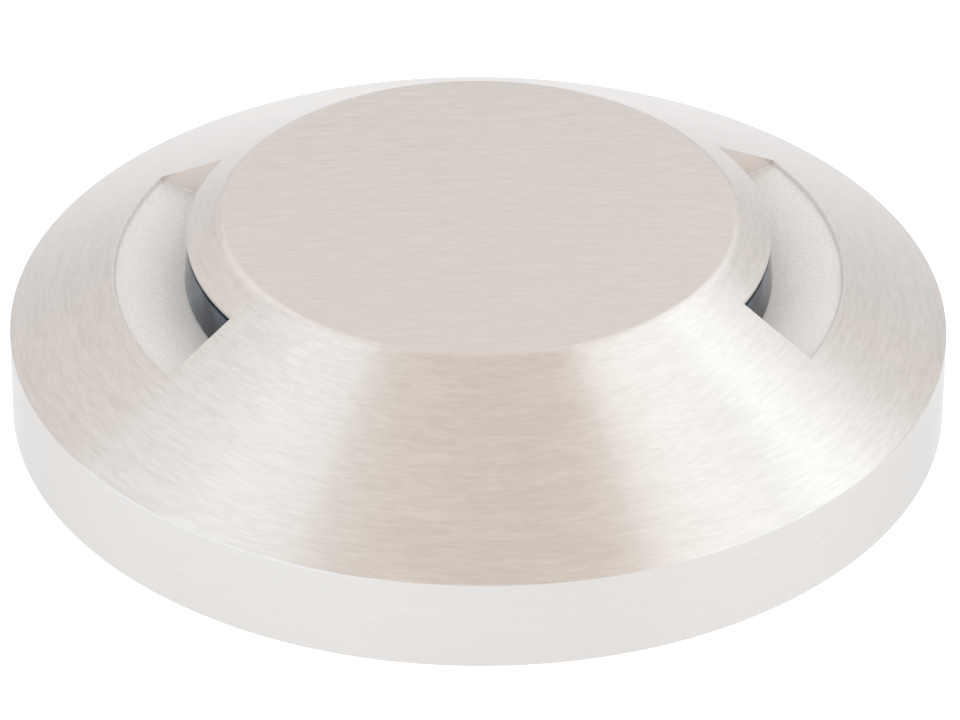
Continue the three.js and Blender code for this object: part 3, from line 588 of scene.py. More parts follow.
def recess_row(radius, floor, top, lip_share):
    """One row of (angle, height): over the first wall's edge, down, across, up and over."""
    away = max(0.0, radius - LIP_RADIUS)
    edge = min(WALL_EDGE, (top - floor) / 2, away)
    foot = min(WALL_FOOT, (top - floor) / 2, away)
    high, low = top - edge, floor + foot
    first = [
        (-WINDOW_HALF - EDGE_STRIP, top),
        (-WINDOW_HALF - edge / radius, top),
        (-WINDOW_HALF, high),
        (-WINDOW_HALF, high - (high - low) * lip_share),
        (-WINDOW_HALF, low),
        (-WINDOW_HALF + foot / radius, floor),
    ]
    last = [(-angle, height) for angle, height in reversed(first)]
    columns = round(2 * WINDOW_HALF / TURN_STEP)
    half = -first[-1][0]
    across = [(half * (2 * i / columns - 1), floor) for i in range(1, columns)]
    return first + across + last


def recess_patch(turn):
    """Recess, sill and jambs of one window, turned round the axis by an angle."""
    lip_share = LIP_BAND / (cone_height(LIP_RADIUS) - SILL_HEIGHT)
    rows = [(CHAMBER_RADIUS, recess_row(CHAMBER_RADIUS, SILL_HEIGHT, WINDOW_TOP, 0))]
    rows += [(r, recess_row(r, z, cone_height(r), lip_share)) for r, z in recess_rows()]
    width = len(rows[0][1])
    points = [
        (r * cos(a + turn) * MM, r * sin(a + turn) * MM, z * MM) for r, row in rows for a, z in row
    ]
    faces, kinds, grain = [], [], []
    for j in range(len(rows) - 1):
        for i in range(width - 1):
            rim_side = min(i, width - 2 - i)
            if j == 0 and rim_side < OVER_LIP:
                continue
            corners = [(j, i), (j, i + 1), (j + 1, i + 1), (j + 1, i)]
            faces.append([row * width + column for row, column in corners])
            kinds.append(0 if rim_side < 1 else 1 if rim_side < WALL_COLUMNS else 2)
            for row, column in corners:
                radius, spots = rows[row]
                around = (spots[column][0] + turn) * RECESS_RADIUS
                grain.append((around, (radius - LIP_RADIUS) * SLANT))
    mesh = bpy.data.meshes.new("recess")
    mesh.from_pydata(points, [], faces)
    mesh.uv_layers.new(name="grain").data.foreach_set("uv", np.ravel(grain))
    for material in (STEEL_ROUND, STEEL_MILLED, STEEL_CAST):
        mesh.materials.append(material)
    mesh.polygons.foreach_set("material_index", kinds)
    return mesh


print("recess rows:", len(recess_rows()))

# %% [markdown]
# ## The cover
# Now the patches: the rim, the cone up to the recesses, the cone between them, the cone above them
# with the flat top, and the inside. Each gets the finish that the tool left there.

# %% The cover's outlines
GASKET_RADIUS = (COVER_RADIUS + SEAT_RADIUS) / 2
GROOVE_HALF, GROOVE_TOP = 1.1, 1.3
WINDOW_SWEEP = 2 * WINDOW_HALF
BETWEEN = pi - WINDOW_SWEEP
FLAT_SLACK = 0.0001

groove_outer, groove_inner = GASKET_RADIUS + GROOVE_HALF, GASKET_RADIUS - GROOVE_HALF
rim = rounded(
    [
        (groove_outer, 0),
        (COVER_RADIUS, 0, RIM_ROUND),
        (COVER_RADIUS, RIM_HEIGHT, RIM_ROUND),
        (RECESS_RADIUS, cone_height(RECESS_RADIUS)),
    ]
)
crown = rounded(
    [
        (LIP_RADIUS, cone_height(LIP_RADIUS)),
        (TOP_RADIUS, COVER_HEIGHT, TOP_ROUND),
        (0, COVER_HEIGHT),
    ]
)
flat = [point for point in crown if point.y > COVER_HEIGHT - FLAT_SLACK]
crown = [point for point in crown if point.y < COVER_HEIGHT - FLAT_SLACK] + flat[:1]
foot = [
    (groove_outer, 0),
    (groove_outer, GROOVE_TOP),
    (groove_inner, GROOVE_TOP),
    (groove_inner, 0),
    (SEAT_RADIUS, 0),
    (SEAT_RADIUS, SEAT_HEIGHT),
    (LAND_RADIUS, SEAT_HEIGHT),
    (LAND_RADIUS, LOWER_ROOF),
    (CHAMBER_RADIUS, LOWER_ROOF),
    (CHAMBER_RADIUS, SILL_HEIGHT),
]
between = [(r, cone_height(r)) for r, floor in recess_rows()]
edge = next(i for i, point in enumerate(rim) if point.y > RIM_HEIGHT - RIM_ROUND / 2)
patches = [
    turned(eased(rim[: edge + 1]), STEEL_FINE),
    turned(eased(rim[edge:]), STEEL_ROUND),
    turned(eased(crown), STEEL_ROUND),
    turned(flat, STEEL_STRAIGHT, straight=True),
    turned(foot, STEEL_CAST),
    turned([(CHAMBER_RADIUS, WINDOW_TOP), (0, WINDOW_TOP)], STEEL_CAST),
    recess_patch(0),
    recess_patch(pi),
]
for start in (-WINDOW_HALF, pi - WINDOW_HALF):
    lip = [(CHAMBER_RADIUS, WINDOW_TOP), (LIP_RADIUS, WINDOW_TOP)]
    band = [(LIP_RADIUS, WINDOW_TOP), (LIP_RADIUS, cone_height(LIP_RADIUS))]
    wall = [(CHAMBER_RADIUS, SILL_HEIGHT), (CHAMBER_RADIUS, WINDOW_TOP)]
    beyond = start + WINDOW_SWEEP
    patches += [
        turned(lip, STEEL_CAST, start, WINDOW_SWEEP),
        turned(band, STEEL_ROUND, start, WINDOW_SWEEP),
        turned(wall, STEEL_CAST, beyond, BETWEEN),
        turned(between, STEEL_ROUND, beyond + EDGE_STRIP, BETWEEN - 2 * EDGE_STRIP),
    ]
cover, open_edges = welded(patches)
add_piece("cover_casting", cover, "brushed_stainless", "cover")
print("cover:", len(cover.polygons), "faces,", open_edges, "open edges")

# %% [markdown]
# ## Finishes of the smaller pieces
# The grained recipe covers most of them. The numbers are the size and the depth of a grain and the
# roughness, which says how a piece was made. A pressed or cold headed steel is satin, a die casting
# is duller, and moulded rubber hardly shines at all. Metals end with a 1.

# %% Grained finishes
# Cold rolled sheet, pressed: the rolls leave it satin grey, with no lines that the eye can find.
SHEET_STEEL = grained("stainless_sheet_pressed", "#cfccc8", "#c2bfbb", 0.5, 0.004, 0.38, 1.0)
# Cold headed and tumbled: screws, studs and the nut come out smooth, with a soft bright shine.
MILL_STEEL = grained("stainless_cold_headed", "#c8c6c3", "#b9b7b4", 0.3, 0.003, 0.3, 1.0)
# Cast into a steel die: a dull skin with flow marks of a few tenths of a millimetre.
CAST_ALUMINIUM = grained("aluminium_die_cast", "#bfc1c3", "#adafb1", 0.25, 0.012, 0.5, 1.0)
# Pressed through a die and sawn: a little brighter than the casting.
EXTRUDED = grained("aluminium_extruded", "#c9cbcd", "#bdbfc1", 0.6, 0.004, 0.4, 1.0)
# Moulded in a blasted tool: nearly black, and matte, with a grey bloom at a flat angle.
RUBBER = grained("rubber_moulded", "#222324", "#191a1b", 0.2, 0.01, 0.75)
# Vacuum coated plastic with a smoked tint: behind the glass it stays dark until a lamp hits it.
REFLECTOR = grained("reflector_metallised", "#74777c", "#6b6e73", 1.5, 0.002, 0.22, 1.0)
# Solder resist on an aluminium board: even, white and slightly glossy.
WHITE_BOARD = grained("board_white_resist", "#ecece7", "#e4e4df", 0.4, 0.002, 0.35)
# Silicone full of yellow phosphor: soft and matte.
PHOSPHOR = grained("phosphor_silicone", "#e9cd55", "#dcbd42", 0.15, 0.004, 0.45)
# Moulded white plastic round the phosphor: even, with a soft shine.
LED_BODY = grained("led_package_white", "#eeeeea", "#e6e6e2", 0.3, 0.001, 0.4)
# Pressed and fired powder: dark grey, with a fine sparkle of grains.
FERRITE = grained("ferrite_sintered", "#3b3d40", "#2c2e31", 0.12, 0.006, 0.6)
# Enamelled wire, which shows the copper through its varnish.
WINDING = grained("copper_enamelled", "#a8552c", "#984823", 0.4, 0.002, 0.3, 1.0)
# Drawn can: bright, with an even skin.
CAN = grained("aluminium_drawn_can", "#cfd1d3", "#c4c6c8", 0.5, 0.002, 0.3, 1.0)
# Tinned legs and pads: bright grey, a little cloudy.
TIN = grained("tin_plated", "#c9c9c6", "#bcbcb8", 0.2, 0.003, 0.35, 1.0)
# Transfer moulded epoxy: black with a fine matte skin from the tool.
EPOXY = grained("epoxy_moulded", "#1d1e20", "#141517", 0.1, 0.004, 0.5)
# Moulded polyamide: grey, satin.
POLYAMIDE = grained("polyamide_grey", "#94989d", "#888c91", 0.25, 0.004, 0.45)
# Filled silicone sheet: dull blue grey, slightly uneven.
PAD = grained("silicone_pad", "#95a8b9", "#879aab", 0.4, 0.01, 0.8)
# Extruded sheaths of the leads: even colour and a waxy shine.
RED_PVC = grained("pvc_red", "#a92222", "#9d1d1d", 0.5, 0.002, 0.4)
BLACK_PVC = grained("pvc_black", "#242528", "#1d1e20", 0.5, 0.002, 0.4)
print("finishes:", len(bpy.data.materials))

# %% [markdown]
# ## Three finishes with a pattern of their own
# Closed-cell foam is full of tiny bubbles, so a Voronoi texture dents it and paints each dent
# darker towards its middle, as painted shade. A printed circuit board shows its copper tracks
# faintly through the green resist: the edges of large Voronoi cells make such a net. The window is
# glass, smoked so that the lamp looks dark when it is off.

# %% Foam, green board and window glass
FOAM_CELL, FOAM_DENT = 0.4, 0.08
TRACK_CELL, TRACK_HALF, TRACK_BLUR, TRACK_HEIGHT = 2.4, 0.12, 0.2, 0.03
GLASS_PAINTED_LIGHT, GLASS_DARK = "#656e79", "#33373b"
PAINTED_LIGHT_PATCH, GLASS_WAVE, WAVE_DEPTH = 5.0, 3.0, 0.004
PAINTED_LIGHT_LOW, PAINTED_LIGHT_HIGH = 0.42, 0.62


def foam_finish():
    material, tree = new_material("foam_closed_cell")
    place = add_node(tree, "ShaderNodeTexCoord").outputs["Object"]
    inputs = {"Vector": place, "Scale": 1 / (FOAM_CELL * MM)}
    bubbles = add_node(tree, "ShaderNodeTexVoronoi", inputs).outputs["Distance"]
    # Painted shade: the colour is darkest at the middle of each bubble, where the dent is deepest.
    inputs = {0: bubbles, 6: colour("#232426"), 7: colour("#3a3c3e")}
    tint = add_node(tree, "ShaderNodeMix", inputs, data_type="RGBA").outputs[2]
    lift = add_node(tree, "ShaderNodeBump", {"Height": bubbles, "Distance": FOAM_DENT * MM})
    inputs = {"Base Color": tint, "Roughness": 0.95, "Normal": lift}
    shader = add_node(tree, "ShaderNodeBsdfPrincipled", inputs)
    add_node(tree, "ShaderNodeOutputMaterial", {"Surface": shader})
    return material


def green_finish():
    material, tree = new_material("board_green_resist")
    place = add_node(tree, "ShaderNodeTexCoord").outputs["Object"]
    inputs = {"Vector": place, "Scale": 1 / (TRACK_CELL * MM)}
    kind = {"feature": "DISTANCE_TO_EDGE", "distance": "MANHATTAN"}
    net = add_node(tree, "ShaderNodeTexVoronoi", inputs, **kind).outputs["Distance"]
    edge = TRACK_HALF / TRACK_CELL
    inputs = {0: net, 1: edge * (1 - TRACK_BLUR), 2: edge * (1 + TRACK_BLUR), 3: 1, 4: 0}
    track = add_node(tree, "ShaderNodeMapRange", inputs)
    inputs = {0: track, 6: colour("#1f5a36"), 7: colour("#3c7f51")}
    tint = add_node(tree, "ShaderNodeMix", inputs, data_type="RGBA").outputs[2]
    lift = add_node(tree, "ShaderNodeBump", {"Height": track, "Distance": TRACK_HEIGHT * MM})
    inputs = {"Base Color": tint, "Roughness": 0.3, "Normal": lift}
    shader = add_node(tree, "ShaderNodeBsdfPrincipled", inputs)
    add_node(tree, "ShaderNodeOutputMaterial", {"Surface": shader})
    return material


def glass_finish():
    """Moulded and smoked blue-grey, with painted light patches for the optic seen through it."""
    material, tree = new_material("window_glass_smoked")
    place = add_node(tree, "ShaderNodeTexCoord").outputs["Object"]
    inputs = {"Vector": place, "Scale": 1 / (GLASS_WAVE * MM)}
    wave = add_node(tree, "ShaderNodeTexNoise", inputs)
    lift = add_node(tree, "ShaderNodeBump", {"Height": wave, "Distance": WAVE_DEPTH * MM})
    # Painted light: paler patches in the glass colour stand for the lit optic seen through the
    # glass.
    inputs = {"Vector": place, "Scale": 1 / (PAINTED_LIGHT_PATCH * MM), "Detail": 1}
    patches = add_node(tree, "ShaderNodeTexNoise", inputs)
    share = add_node(tree, "ShaderNodeMapRange", {0: patches, 1: PAINTED_LIGHT_LOW, 2: PAINTED_LIGHT_HIGH})
    inputs = {0: share, 6: colour(GLASS_DARK), 7: colour(GLASS_PAINTED_LIGHT)}
    tint = add_node(tree, "ShaderNodeMix", inputs, data_type="RGBA").outputs[2]
    inputs = {
        "Base Color": tint,
        "Roughness": 0.08,
        "IOR": 1.5,
        "Transmission Weight": 0.5,
        "Specular IOR Level": 0.12,
        "Specular Tint": colour("#cfdcf5"),
        "Normal": lift,
    }
    shader = add_node(tree, "ShaderNodeBsdfPrincipled", inputs)
    add_node(tree, "ShaderNodeOutputMaterial", {"Surface": shader})
    return material


FOAM, GREEN_BOARD, GLASS = foam_finish(), green_finish(), glass_finish()
print("patterned finishes ready")

# %% [markdown]
# ## Helpers for the smaller pieces
# A hole through a thick piece is cut with a Boolean modifier, as a drill would. A turned ring is a
# closed outline swept round. And some hidden pieces are right as the frame has them, so a copy of
# the frame's mesh is merged and gets its sharp edges broken by a Bevel modifier.

# %% Carving, rings and dressed copies
BEVEL_LIMIT, FLAT_LIMIT = radians(35), radians(0.5)
TOOL_FACETS, SMALL_FACETS, TORUS_FACETS = 72, 48, 24
OVERRUN = 1.0


def modified(mesh, kind, **settings):
    """The mesh that one modifier makes."""
    holder = linked("holder", mesh)
    modifier = holder.modifiers.new("change", kind)
    for key, value in settings.items():
        setattr(modifier, key, value)
    return baked(holder)


def carved(mesh, tools, material, operation="DIFFERENCE"):
    """A closed mesh with closed tools cut from it, or joined to it, in one material."""
    shelf = bpy.data.collections.new("tools")
    bpy.context.scene.collection.children.link(shelf)
    for tool in tools:
        shelf.objects.link(bpy.data.objects.new("tool", tool))
    settings = {"operand_type": "COLLECTION", "collection": shelf, "solver": "MANIFOLD"}
    result = modified(mesh, "BOOLEAN", operation=operation, **settings)
    for tool in list(shelf.objects):
        bpy.data.objects.remove(tool)
    bpy.data.collections.remove(shelf)
    return painted(result, material)


def bevelled(mesh, width):
    settings = {"width": width * MM, "segments": 2, "angle_limit": BEVEL_LIMIT}
    return modified(mesh, "BEVEL", limit_method="ANGLE", **settings)


def painted(mesh, material):
    mesh.materials.clear()
    mesh.materials.append(material)
    mesh.polygons.foreach_set("material_index", [0] * len(mesh.polygons))
    return mesh


def solid_of(outline, material, facets=TOOL_FACETS):
    """A turned solid. Its outline starts and ends on the axis."""
    swept = turned(eased(rounded(outline)), material, 0, facets=facets)
    return painted(welded([swept])[0], material)


def ring_of(outline, material, start=0, sweep=tau):
    """A turned ring, or a capped piece of one, from a closed outline."""
    points = rounded(outline, closed=True)
    swept = turned(eased(points + points[:1]), material, start, sweep)
    return painted(welded([swept], capped=sweep < tau)[0], material)


def shifted(mesh, x, y, z=0.0, turn=0.0):
    """A copy of a mesh, moved by millimetres and then turned round the axis."""
    copy = mesh.copy()
    copy.transform(Matrix.Rotation(turn, 4, "Z") @ Matrix.Translation(Vector((x, y, z)) * MM))
    return copy


def dressed(node, material, slot, width):
    """A copy of a solid from the frame, merged, with its edges broken."""
    work = bmesh.new()
    work.from_mesh(bpy.data.objects[node].data)
    bmesh.ops.remove_doubles(work, verts=work.verts, dist=MERGE)
    bmesh.ops.dissolve_limit(work, angle_limit=FLAT_LIMIT, verts=work.verts, edges=work.edges)
    mesh = painted(bevelled(mesh_of(work, node), width), material)
    return add_piece(node + "_dressed", mesh, slot, node)


def rod(radius, low, high, material, facets=TOOL_FACETS):
    return solid_of([(0, low), (radius, low), (radius, high), (0, high)], material, facets)


def hex_rod(width, low, high, material):
    return rod(width / sqrt(3), low, high, material, 6)


print("helpers ready")

# %% [markdown]
# ## A ring of equal pieces
# Screws and studs repeat round the axis, so Geometry Nodes place them: points on a circle, one
# instance on each, turned to face outwards. The tree ends by making the instances real.

# %% The ring tree
RING_INPUTS = {
    "Piece": "Geometry",
    "Count": "Int",
    "Radius": "Float",
    "First Angle": "Float",
    "Material": "Material",
}


def ring_tree():
    tree, given = new_geometry_tree("ring_of_pieces", RING_INPUTS)
    points = add_node(tree, "GeometryNodePoints", {"Count": given["Count"]})
    index = add_node(tree, "GeometryNodeInputIndex")
    share = add_node(tree, "ShaderNodeMath", {0: index, 1: given["Count"]}, operation="DIVIDE")
    inputs = {0: share, 1: tau, 2: given["First Angle"]}
    angle = add_node(tree, "ShaderNodeMath", inputs, operation="MULTIPLY_ADD")
    arm = add_node(tree, "ShaderNodeCombineXYZ", {0: given["Radius"]})
    inputs = {"Vector": arm, "Angle": angle}
    spot = add_node(tree, "ShaderNodeVectorRotate", inputs, rotation_type="Z_AXIS")
    placed = add_node(tree, "GeometryNodeSetPosition", {"Geometry": points, "Position": spot})
    facing = add_node(tree, "ShaderNodeCombineXYZ", {2: angle})
    inputs = {"Points": placed, "Instance": given["Piece"], "Rotation": facing}
    copies = add_node(tree, "GeometryNodeInstanceOnPoints", inputs)
    end_geometry_tree(tree, copies, given["Material"])
    return tree


RING = ring_tree()


def ring_piece(name, mesh, nodes, radius, first):
    """Equal steel pieces on a circle as one object, which stands for as many nodes."""
    values = {"Count": len(nodes), "Radius": radius * MM, "First Angle": first}
    made = grown(RING, mesh, {**values, "Material": MILL_STEEL})
    return add_piece(name, painted(made, MILL_STEEL), GREY, *nodes)


def numbered(name, *numbers):
    return [f"{name}_{number}" for number in numbers]


GREY = "plain_stainless"
print("ring tree:", len(RING.nodes), "nodes")

# %% [markdown]
# ## The mounting plate
# The plate is a dish pressed from 1.5 mm stainless sheet. Its bends are round, because a sharp bend
# would crack the sheet. Keyholes, the cable hole and three countersunk holes are cut through it.
# Each cutting tool flares at the two faces of the sheet, which leaves the hole with a broken edge.

# %% Mounting plate
SHEET, PLATEAU_CLEAR, FOAM_HEIGHT, BASE_THICKNESS = 1.5, 2.7, 0.6, 3.4
PLATEAU_TOP = PLATEAU_CLEAR + SHEET
FOAM_TOP = PLATEAU_TOP + CONTACT + FOAM_HEIGHT
BASE_BOTTOM = FOAM_TOP + CONTACT
BASE_TOP = BASE_BOTTOM + BASE_THICKNESS
MOUNT_RADIUS = SEAT_RADIUS - 2.5
FOOT_WIDTH, SLOPE_RUN = 8.0, 2.5
PLATEAU_RADIUS = MOUNT_RADIUS - FOOT_WIDTH - SLOPE_RUN
CABLE_HOLE = 10.0
STUD_CIRCLE, STUD_COUNT, STUD_FIRST = 24.0, 4, radians(45)
TURN_ANGLE = radians(22)
ENTRY_RADIUS, SLOT_RADIUS = 5.1, 2.8
FIXING_COUNT, FIXING_RADIUS, FIXING_SINK = 3, 2.25, 3.5
BREAK = 0.15
PRESS_OUT, PRESS_IN = 2.0, 0.6


def flared(radius, low, high, material):
    """A round cutter for a hole with broken edges at two levels."""
    wide = radius + 2 * BREAK
    outline = [(0, low - BREAK), (wide, low - BREAK), (radius, low + BREAK)]
    outline += [(radius, high - BREAK), (wide, high + BREAK), (0, high + BREAK)]
    return solid_of(outline, material)


def spots(count, first, radius):
    angles = [first + tau * i / count for i in range(count)]
    return [(radius * cos(a), radius * sin(a)) for a in angles]


def keyhole_tools(angle):
    low, high = PLATEAU_CLEAR, PLATEAU_TOP
    inner, outer = STUD_CIRCLE - SLOT_RADIUS, STUD_CIRCLE + SLOT_RADIUS
    flare, below, above = 2 * BREAK, low - BREAK, high + BREAK
    section = [(inner - flare, below), (outer + flare, below), (outer, low + BREAK)]
    section += [(outer, high - BREAK), (outer + flare, above), (inner - flare, above)]
    section += [(inner, high - BREAK), (inner, low + BREAK)]
    track = ring_of(section, SHEET_STEEL, angle, TURN_ANGLE)
    ends = [
        shifted(flared(radius, low, high, SHEET_STEEL), STUD_CIRCLE, 0, turn=turn)
        for radius, turn in ((SLOT_RADIUS, angle), (ENTRY_RADIUS, angle + TURN_ANGLE))
    ]
    return [track, *ends]


def fixing_tool(x, y):
    depth = FIXING_SINK - FIXING_RADIUS
    outline = [(0, -BREAK), (FIXING_RADIUS + 2 * BREAK, -BREAK), (FIXING_RADIUS, BREAK)]
    outline += [(FIXING_RADIUS, SHEET - depth), (FIXING_SINK + BREAK, SHEET + BREAK)]
    return shifted(solid_of(outline + [(0, SHEET + BREAK)], SHEET_STEEL), x, y)


def mounting_plate():
    foot_inner = MOUNT_RADIUS - FOOT_WIDTH
    outline = [
        (CABLE_HOLE, PLATEAU_CLEAR, BREAK),
        (PLATEAU_RADIUS - SHEET / 2, PLATEAU_CLEAR, PRESS_IN),
        (foot_inner - SHEET / 2, 0, PRESS_OUT),
        (MOUNT_RADIUS, 0, BREAK),
        (MOUNT_RADIUS, SHEET, BREAK),
        (foot_inner, SHEET, PRESS_IN),
        (PLATEAU_RADIUS, PLATEAU_TOP, PRESS_OUT),
        (CABLE_HOLE, PLATEAU_TOP, BREAK),
    ]
    tools = []
    for i in range(STUD_COUNT):
        tools += keyhole_tools(STUD_FIRST + tau * i / STUD_COUNT)
    foot_middle = MOUNT_RADIUS - FOOT_WIDTH / 2
    tools += [fixing_tool(*spot) for spot in spots(FIXING_COUNT, pi / 2, foot_middle)]
    return carved(ring_of(outline, SHEET_STEEL), tools, SHEET_STEEL)


plate = mounting_plate()
add_piece("mounting_plate_pressed", plate, GREY, "mounting_plate", body="mounting")
print("mounting plate:", len(plate.polygons), "faces")

# %% [markdown]
# ## The base plate
# A die casting that closes the cover from below. It carries the stud bosses, the gland boss and a
# groove for the face seal. Castings have rounded edges all over, and the holes are drilled later.

# %% Base plate
GLAND_THREAD, GLAND_BORE = 6.0, 3.5
GLAND_BOSS, GLAND_BOSS_HEIGHT = 9.0, 3.6
GLAND_BOSS_TOP = BASE_TOP + GLAND_BOSS_HEIGHT
NUT_REACH, WASHER_HEIGHT, SEAL_HEIGHT = 2.4, 0.8, 2.6
GLAND_FLOOR = BASE_BOTTOM + NUT_REACH + WASHER_HEIGHT + SEAL_HEIGHT + 3 * CONTACT
FACE_SEAL_RADIUS, FACE_SEAL_SECTION = LAND_RADIUS + 2.25, 0.8
FACE_GROOVE_HALF, FACE_GROOVE_DEPTH = 1.15, 1.7
STUD_BOSS, STUD_BOSS_TOP = 4.5, BASE_TOP + 2.0
STUD_THREAD, STUD_REACH = 2.0, 4.6
SCREW_COUNT, SCREW_FIRST, SCREW_CIRCLE = 6, radians(30), SEAT_RADIUS - 4.0
SCREW_HEAD, SCREW_SINK, SCREW_THREAD = 2.8, 1.7, 1.5
SPREADER_SCREW_X, SPREADER_REACH = 15.0, 2.2
CAST_EDGE = 0.3


def base_plate():
    metal = CAST_ALUMINIUM
    bore, edge, groove = GLAND_THREAD + SIDE, SEAT_RADIUS - SIDE, BASE_TOP - FACE_GROOVE_DEPTH
    outline = [
        (GLAND_BORE, GLAND_FLOOR, BREAK),
        (bore, GLAND_FLOOR),
        (bore, BASE_BOTTOM, CAST_EDGE),
        (edge, BASE_BOTTOM, CAST_EDGE),
        (edge, BASE_TOP, CAST_EDGE),
        (FACE_SEAL_RADIUS + FACE_GROOVE_HALF, BASE_TOP, BREAK),
        (FACE_SEAL_RADIUS + FACE_GROOVE_HALF, groove, CAST_EDGE),
        (FACE_SEAL_RADIUS - FACE_GROOVE_HALF, groove, CAST_EDGE),
        (FACE_SEAL_RADIUS - FACE_GROOVE_HALF, BASE_TOP, BREAK),
        (GLAND_BOSS, BASE_TOP, CAST_EDGE),
        (GLAND_BOSS, GLAND_BOSS_TOP, CAST_EDGE),
        (GLAND_BORE, GLAND_BOSS_TOP, BREAK),
    ]
    plate, root = ring_of(outline, metal), BASE_TOP - OVERRUN
    boss = [(0, root), (STUD_BOSS, root), (STUD_BOSS, STUD_BOSS_TOP, CAST_EDGE)]
    boss = solid_of(boss + [(0, STUD_BOSS_TOP)], metal)
    studs = spots(STUD_COUNT, STUD_FIRST, STUD_CIRCLE)
    plate = carved(plate, [shifted(boss, *spot) for spot in studs], metal, "UNION")
    below, above, hole = BASE_BOTTOM - OVERRUN, BASE_TOP + OVERRUN, SCREW_THREAD + SIDE
    drill = rod(STUD_THREAD + SIDE, below, BASE_BOTTOM + STUD_REACH + SIDE, metal)
    tools = [shifted(drill, *spot) for spot in studs]
    drill = rod(hole, BASE_TOP - SPREADER_REACH - SIDE, above, metal)
    tools += [shifted(drill, side * SPREADER_SCREW_X, 0) for side in (1, -1)]
    sink = [(0, below), (SCREW_HEAD + SIDE, below), (SCREW_HEAD + SIDE, BASE_BOTTOM)]
    sink += [(hole, BASE_BOTTOM + SCREW_SINK), (hole, above), (0, above)]
    sink = solid_of(sink, metal)
    tools += [shifted(sink, *spot) for spot in spots(SCREW_COUNT, SCREW_FIRST, SCREW_CIRCLE)]
    return carved(plate, tools, metal)


base = base_plate()
add_piece("base_plate_cast", base, "cast_aluminium", "base_plate")
print("base plate:", len(base.polygons), "faces")

# %% [markdown]
# ## Screws and studs
# Each is turned, with fine rings where its thread runs, and a hexagon is pressed into its head.
# One piece is modelled on the axis, and the ring tree puts the others in their places.

# %% Screws and studs
THREAD_DEPTH = 0.14
SOFT_EDGE, FINE_EDGE = 0.25, 0.1
STUD_HEAD, STUD_HEAD_HEIGHT, STUD_SHANK, STUD_PITCH = 4.5, 1.4, 2.5, 0.7
STUD_SOCKET, STUD_SOCKET_DEPTH = 2.5, 0.8
SUNK_EDGE, SUNK_PITCH, POINT_HEIGHT, POINT_SHARE = 0.12, 0.5, 0.3, 0.7
PAD_THICKNESS, WEB_THICKNESS, BOARD_THICKNESS = 0.5, 2.0, 1.6
WEB_TOP = BASE_TOP + PAD_THICKNESS + WEB_THICKNESS + 2 * CONTACT
PILLAR_X, PILLAR_Y, PILLAR_CLEAR = 14.0, 7.5, 0.2
PILLAR_TOP = GLAND_BOSS_TOP + PILLAR_CLEAR
PART_BOTTOM = PILLAR_TOP + BOARD_THICKNESS + 2 * CONTACT
BOARD_THREAD, BOARD_SCREW_REACH, BOARD_PITCH = 1.0, 2.0, 0.4
BOARD_HEAD, BOARD_CROWN, BOARD_HEAD_HEIGHT, BOARD_SOCKET = 2.2, 1.55, 1.3, 1.4
HEAD_EDGE, CROWN_EDGE = 0.08, 0.2


def threaded(radius, low, high, pitch):
    """Points for the crests and roots of a thread, going up."""
    count = max(1, round((high - low) / pitch))
    step = (high - low) / count
    points = []
    for i in range(count):
        points += [(radius - THREAD_DEPTH, low + i * step), (radius, low + (i + 0.5) * step)]
    return points + [(radius - THREAD_DEPTH, high)]


def socketed(outline, width, low, high):
    """A screw with a hexagon socket. Its outline is on the axis at both ends."""
    screw = solid_of(outline, MILL_STEEL, SMALL_FACETS)
    return carved(screw, [hex_rod(width, low, high, MILL_STEEL)], MILL_STEEL)


def stud():
    head_top, top = PLATEAU_CLEAR - SIDE, BASE_BOTTOM + STUD_REACH
    bottom, shoulder = head_top - STUD_HEAD_HEIGHT, BASE_BOTTOM - CONTACT
    outline = [(0, bottom), (STUD_HEAD, bottom, SOFT_EDGE), (STUD_HEAD, head_top, FINE_EDGE)]
    outline += [(STUD_SHANK, head_top, BREAK), (STUD_SHANK, shoulder, FINE_EDGE)]
    outline += threaded(STUD_THREAD, shoulder, top, STUD_PITCH) + [(0, top)]
    return socketed(outline, STUD_SOCKET, bottom - OVERRUN, bottom + STUD_SOCKET_DEPTH)


def sunk_screw(head, sink, thread, length, socket, depth):
    """A countersunk screw with its face at level 0 and its thread above."""
    outline = [(0, 0), (head, 0, SUNK_EDGE), (thread, sink)]
    outline += threaded(thread, sink, length - POINT_HEIGHT, SUNK_PITCH)
    outline += [(POINT_SHARE * thread, length), (0, length)]
    return socketed(outline, socket, -OVERRUN, depth)


def board_screw():
    foot, middle = PILLAR_TOP - BOARD_SCREW_REACH, PART_BOTTOM + BOARD_HEAD_HEIGHT / 2
    top = PART_BOTTOM + BOARD_HEAD_HEIGHT
    outline = [(0, foot)] + threaded(BOARD_THREAD, foot, PART_BOTTOM, BOARD_PITCH)
    outline += [(BOARD_HEAD, PART_BOTTOM, HEAD_EDGE), (BOARD_HEAD, middle, SOFT_EDGE)]
    outline += [(BOARD_CROWN, top, CROWN_EDGE), (0, top)]
    return socketed(outline, BOARD_SOCKET, middle, top + OVERRUN)


ring_piece("keyhole_studs", stud(), numbered("keyhole_stud", 1, 2, 3, 4), STUD_CIRCLE, STUD_FIRST)
screw = sunk_screw(SCREW_HEAD, SCREW_SINK, SCREW_THREAD, length=6.7, socket=2.0, depth=1.0)
screw = shifted(screw, 0, 0, BASE_BOTTOM)
nodes = numbered("base_screw", 1, 2, 3, 4, 5, 6)
ring_piece("base_screws", screw, nodes, SCREW_CIRCLE, SCREW_FIRST)
reach = WEB_TOP - BASE_TOP + SPREADER_REACH
screw = sunk_screw(head=2.75, sink=1.6, thread=1.5, length=reach, socket=2.1, depth=0.8)
screw.transform(Matrix.Translation((0, 0, WEB_TOP * MM)) @ Matrix.Rotation(pi, 4, "X"))
ring_piece("spreader_screws", screw, numbered("spreader_screw", 1, 2), SPREADER_SCREW_X, 0.0)
pillar_reach, pillar_angle = sqrt(PILLAR_X**2 + PILLAR_Y**2), atan2(PILLAR_Y, PILLAR_X)
